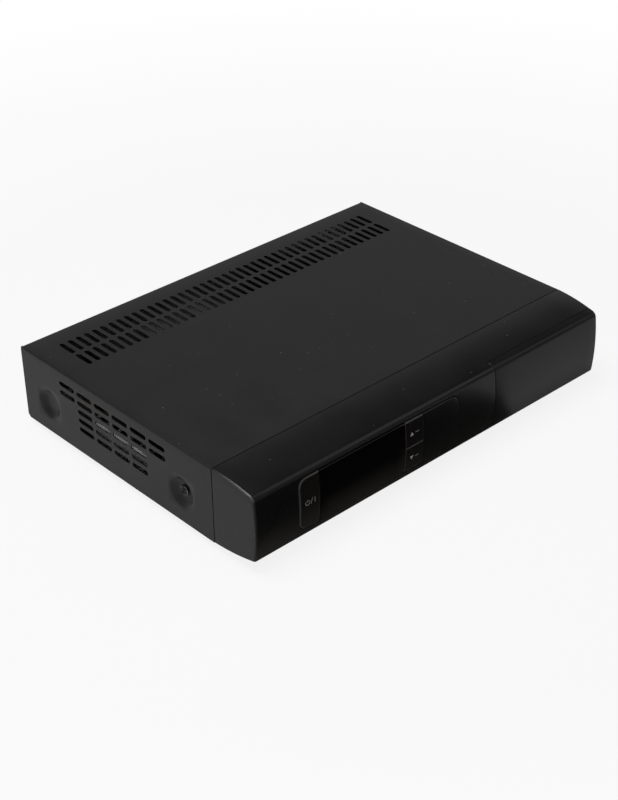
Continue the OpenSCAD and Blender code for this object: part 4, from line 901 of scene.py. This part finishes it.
makeInsertPiece("powerKey", "power_button", "power_key", "key_plastic", roundLeft=True)
makeInsertPiece("windowPane", "display_window", "case", "window_smoke", edge=keys["paneEdge"])
makeInsertPiece("channelUpKey", "channel_up_button", "channel_up_key", "key_plastic")
makeInsertPiece("channelDownKey", "channel_down_button", "channel_down_key", "key_plastic")
makeInsertPiece("infillPlate", "infill_panel", "case", "bezel_plastic", roundRight=True,
                edge=keys["paneEdge"], rim=keys["infillRim"])
print("insert made")

# Printed marks: strokes on the keys' bowed faces, a hair proud of them
mark = {"proud": 0.03, "sunk": 0.05, "stroke": 0.28, "power": (-124.7, 30.8), "ring": 1.8,
        "ringTurn": (125, 415), "ringSteps": 24, "lines": (
            ((0, 0.3), (0, 2.3)), ((2.9, -2.1), (4.3, 2.1)), ((6.3, -1.9), (6.3, 1.9))),
        "channel": -28.6, "triangle": 1.7, "slope": 1.7, "tip": 0.85, "triangleRows": 6, "rise": 9.6,
        "dash": (-25.2, -22.0), "dashStroke": 0.364}


# A stroke: points along a line, half the width to each side of it
def strokeForm(line, width):
    run = np.gradient(line, axis=0)
    run /= np.linalg.norm(run, axis=1, keepdims=True)
    square = asPoints(-run[:, 1], run[:, 0]) * width / 2
    return bandForm(np.stack([line - square, line + square], axis=1))


# A straight stroke, in two steps
def lineForm(start, end, width=mark["stroke"]):
    return strokeForm(np.linspace(start, end, 3), width)


# A band of rows, closed between a face just proud of the key and a back just under it
def bandForm(grid):
    sheet = newSheet()
    addPatch(sheet, onKey(grid, mark["proud"]), onKey(grid, -mark["sunk"]))
    return closeSheet(sheet)[:2]


# A triangle in rows, each wider in step with its distance from the tip
def arrowForm(x, z, way):
    wide = np.linspace(mark["triangle"], 0, mark["triangleRows"])[:, None]
    level = z + way * (mark["triangle"] * mark["tip"] - mark["slope"] * wide)
    return bandForm(asPoints(x + wide * np.array([-1, 1]), level))


# Power: an open ring and three strokes; channels: an arrow and a dash, above and below the keys' split
def makeMarks():
    place = np.array(mark["power"])
    turn = np.linspace(*np.radians(mark["ringTurn"]), mark["ringSteps"] + 1)
    ring = place + mark["ring"] * asPoints(np.cos(turn), np.sin(turn))
    lines = [lineForm(place + start, place + end) for start, end in mark["lines"]]
    makePiece("powerMark", *joinForms(strokeForm(ring, mark["stroke"]), *lines), "power_key", "key_plastic",
              finish="legendInk")
    split = nodeBox("channel_up_button")[0][2]
    for name, body, way in (("channelUpMark", "channel_up_key", 1),
                            ("channelDownMark", "channel_down_key", -1)):
        level = split + way * mark["rise"]
        dash = lineForm(*((x, level) for x in mark["dash"]), mark["dashStroke"])
        makePiece(name, *joinForms(arrowForm(mark["channel"], level, way), dash), body, "key_plastic",
                  finish="legendInk")


makeMarks()
print("marks made")

# Every carried-over node takes its finish from its slot; outer ones get a copy with softened edges
ownFinish = {"phono_jacks": "phonoJacks"}
softEdges = {
    0.15: ("rear_panel", "base_chassis", "card_cage", "hdmi_socket", "rear_usb_socket", "front_usb_socket",
           "board_chips"),
    0.2: ("flap_frame", "cover_rear_screws", "rear_panel_screws", "foot_screws", "aerial_sockets",
          "network_socket", "serial_socket", "power_heat_sink", "processor_heat_sink"),
    0.25: ("phono_jacks",), 0.3: ("scart_sockets", "phono_block", "optical_socket", "tuner_can"),
    0.4: ("mains_inlet", "mains_switch", "mains_rocker", "board_capacitors"), 0.5: ("transformer",),
    0.6: ("rubber_feet", "bulk_capacitor")}


# Gives each node its finish, and a softened copy where a bevel's width is listed for it
def dressNodes():
    bodyOf = {node: body for body, names in frame["record"]["behaviour"]["bodies"].items() for node in names}
    widthOf = {node: width for width, names in softEdges.items() for node in names}
    for entry in frame["record"]["subparts"]:
        node, slot = entry["node"], entry["material_slot"]
        finish = ownFinish.get(node, finishOf(slot))
        for holder in nodes[node].material_slots:
            holder.material = finishes[finish]
        if node in widthOf:
            dressMesh(nodes[node].data.copy(), node + "Soft", bodyOf[node], slot, [node], finish,
                      meshing["nodeSharp"], widthOf[node], meshing["nodeBevel"], carried=True)


dressNodes()
print("carried-over nodes dressed")

# Floor, light and camera, in metres and degrees
floor = {"tones": ((0.73, 0.73, 0.73), (0.75, 0.75, 0.75)), "clouds": 3.0, "gloss": 0.85, "size": 6.0,
         "fade": (0.35, 0.9), "seen": 0.86, "mirrored": 0.6}
flag = {"edge": [(-0.28, -0.127), (-0.20, -0.75), (0.42, -0.75), (0.165, -0.30), (0.122, -0.24),
                 (0.113, -0.20), (0.103, -0.165), (0.087, -0.134), (0.03, -0.1305), (-0.06, -0.1305),
                 (-0.12, -0.128)],
        "up": 0.0008, "near": (-0.172, -0.130), "left": (-0.165, -0.115), "leftLevel": 0.55,
        "right": (-0.05, 0.02), "rightLevel": 0.3, "pale": (0.58, 0.53, 0.47), "clouds": 60.0, "gloss": 0.9,
        "mirror": 0.2, "felt": ((0.012, 0.012, 0.012), (0.018, 0.018, 0.018))}
sky = {"stops": [(0.0, 0.51), (0.30, 0.42), (0.50, 0.33), (0.63, 0.06), (1.0, 0.03)],
       "ahead": (0.6, -0.8, 0.0), "aheadLevel": 0.2, "aheadFrom": 0.8}
lamps = {"upperLeft": {"place": (-0.32, 0.06, 1.30), "size": (0.7, 0.7), "power": 12.0},
         "frontRight": {"place": (0.76, -0.67, 1.13), "size": (0.7, 0.9), "power": 1.25},
         "overCamera": {"place": (-0.60, -0.52, 1.23), "size": (0.4, 0.4), "power": 1.2}}
view = {"azimuth": -42.58, "elevation": 32.53, "roll": 0.70, "place": (-0.6909, -0.74905, 0.6487),
        "lens": 72.9, "sensor": 36.0}
white = (1.0, 1.0, 1.0)


# A flat plate of the stage, not of the part: its corners at one height
def flatStage(name, corners, z, finish):
    mesh = bpy.data.meshes.new(name)
    mesh.from_pydata([(x, y, z) for x, y in corners], [], [tuple(range(len(corners)))])
    mesh.materials.append(finish)
    plate = addObject(name, mesh)
    return plate


# Faint clouds between two pale tones
def floorLook(place):
    clouds = span(noise(place, floor["clouds"]), 0.0, 1.0)
    return {"Base Color": blend(clouds, *floor["tones"]), "Roughness": floor["gloss"]}


# Pale paper; to the camera it is mostly plain white, wholly so away from the object
def makeFloor():
    finish = makeFinish("floorPaper", floorLook)
    made = {node.type: node for node in finish.node_tree.nodes}
    place = made["TEX_COORD"].outputs["Object"]
    away = addNode("ShaderNodeVectorMath", {0: place}, operation="LENGTH").node.outputs["Value"]
    path = finish.node_tree.nodes.new("ShaderNodeLightPath").outputs
    glow = finish.node_tree.nodes.new("ShaderNodeEmission")
    feed(glow.inputs["Color"], white)
    mirrored = times(path["Is Glossy Ray"], span(away, 0.0, floor["mirrored"], *floor["fade"]))
    seen = times(path["Is Camera Ray"], span(away, floor["seen"], 1.0, *floor["fade"]))
    mixed = addNode("ShaderNodeMixShader", {0: math2("MAXIMUM", seen, mirrored), 2: glow.outputs[0],
                                            1: made["BSDF_PRINCIPLED"].outputs[0]})
    feed(made["OUTPUT_MATERIAL"].inputs[0], mixed)
    reach = floor["size"] / 2
    flatStage("floor", [(-reach, -reach), (reach, -reach), (reach, reach), (-reach, reach)], 0.0, finish)


# Paler close to the object, by the square of the nearness, and less so to the right in two steps; the paler
# tone is painted light, standing for the lit floor that the front mirrors
def flagLook(place):
    across, near = axisOf(place, 0), span(axisOf(place, 1), 0.0, 1.0, *flag["near"])
    graded = times(near, near, span(across, 1.0, flag["rightLevel"], *flag["right"]),
                   span(across, 1.0, flag["leftLevel"], *flag["left"]))
    felt = blend(noise(place, flag["clouds"]), *flag["felt"])
    return {"Base Color": blend(graded, felt, flag["pale"]), "Roughness": flag["gloss"],
            "Specular IOR Level": flag["mirror"]}


# A studio flag: a dark card on the floor that only mirrors in the front; the camera doesn't see it
def makeFlag():
    card = flatStage("flag", flag["edge"], flag["up"], makeFinish("flagFelt", flagLook))
    card.visible_camera = False
    card.visible_shadow = False
    card.visible_diffuse = False


# Sky dims from the horizon upwards and straight ahead of the front; the camera sees plain white
def makeWorld():
    world = bpy.data.worlds.new("studio")
    world.use_nodes = True
    tree = world.node_tree
    tree.nodes.clear()
    path = tree.nodes.new("ShaderNodeLightPath")
    facing = tree.nodes.new("ShaderNodeTexCoord").outputs["Generated"]
    ramp = addNode("ShaderNodeValToRGB", {0: axisOf(facing, 2)})
    stops = ramp.node.color_ramp.elements
    for index, (position, level) in enumerate(sky["stops"]):
        stop = stops[index] if index < 2 else stops.new(position)
        stop.position = position
        stop.color = (level, level, level, 1)
    ahead = addNode("ShaderNodeVectorMath", {0: facing, 1: sky["ahead"]}, operation="DOT_PRODUCT")
    dimmed = span(ahead.node.outputs["Value"], 1.0, sky["aheadLevel"], sky["aheadFrom"], 1.0)
    lit = addNode("ShaderNodeBackground", {"Color": ramp, "Strength": dimmed})
    plain = tree.nodes.new("ShaderNodeBackground")
    feed(plain.inputs["Color"], white)
    mixed = addNode("ShaderNodeMixShader", {0: path.outputs["Is Camera Ray"], 1: lit, 2: plain.outputs[0]})
    feed(tree.nodes.new("ShaderNodeOutputWorld").inputs[0], mixed)
    bpy.context.scene.world = world


# Puts a lamp or camera into the scene; its axes are the matrix's columns, then its place
def aim(name, data, right, up, back, place):
    matrix = np.eye(4)
    matrix[:3] = asPoints(right, up, back, place)
    made = addObject(name, data)
    made.matrix_world = Matrix(matrix.tolist())
    return made


# A soft lamp that faces the object
def softLight(name, place, size, power):
    data = bpy.data.lights.new(name, "AREA")
    data.shape = "RECTANGLE"
    data.size, data.size_y = size
    data.energy = power
    back = np.array(place) / np.linalg.norm(place)
    right = np.cross((0, 0, 1), back)
    right = right / np.linalg.norm(right)
    aim(name, data, right, np.cross(back, right), back, place)


# The camera looks along azimuth and elevation, then rolls about its own axis
def makeCamera():
    a, e, r = (math.radians(view[key]) for key in ("azimuth", "elevation", "roll"))
    back = np.array([math.sin(a) * math.cos(e), -math.cos(a) * math.cos(e), math.sin(e)])
    right = np.array([math.cos(a), math.sin(a), 0])
    up = np.cross(back, right)
    data = bpy.data.cameras.new("camera")
    data.sensor_width = view["sensor"]
    data.lens = view["lens"]
    bpy.context.scene.camera = aim("camera", data, math.cos(r) * right - math.sin(r) * up,
                                   math.sin(r) * right + math.cos(r) * up, back, view["place"])


makeFloor()
makeWorld()
makeFlag()
for name, lamp in lamps.items():
    softLight(name, **lamp)
makeCamera()
bpy.context.scene.view_settings.view_transform = "Standard"
print("stage set")
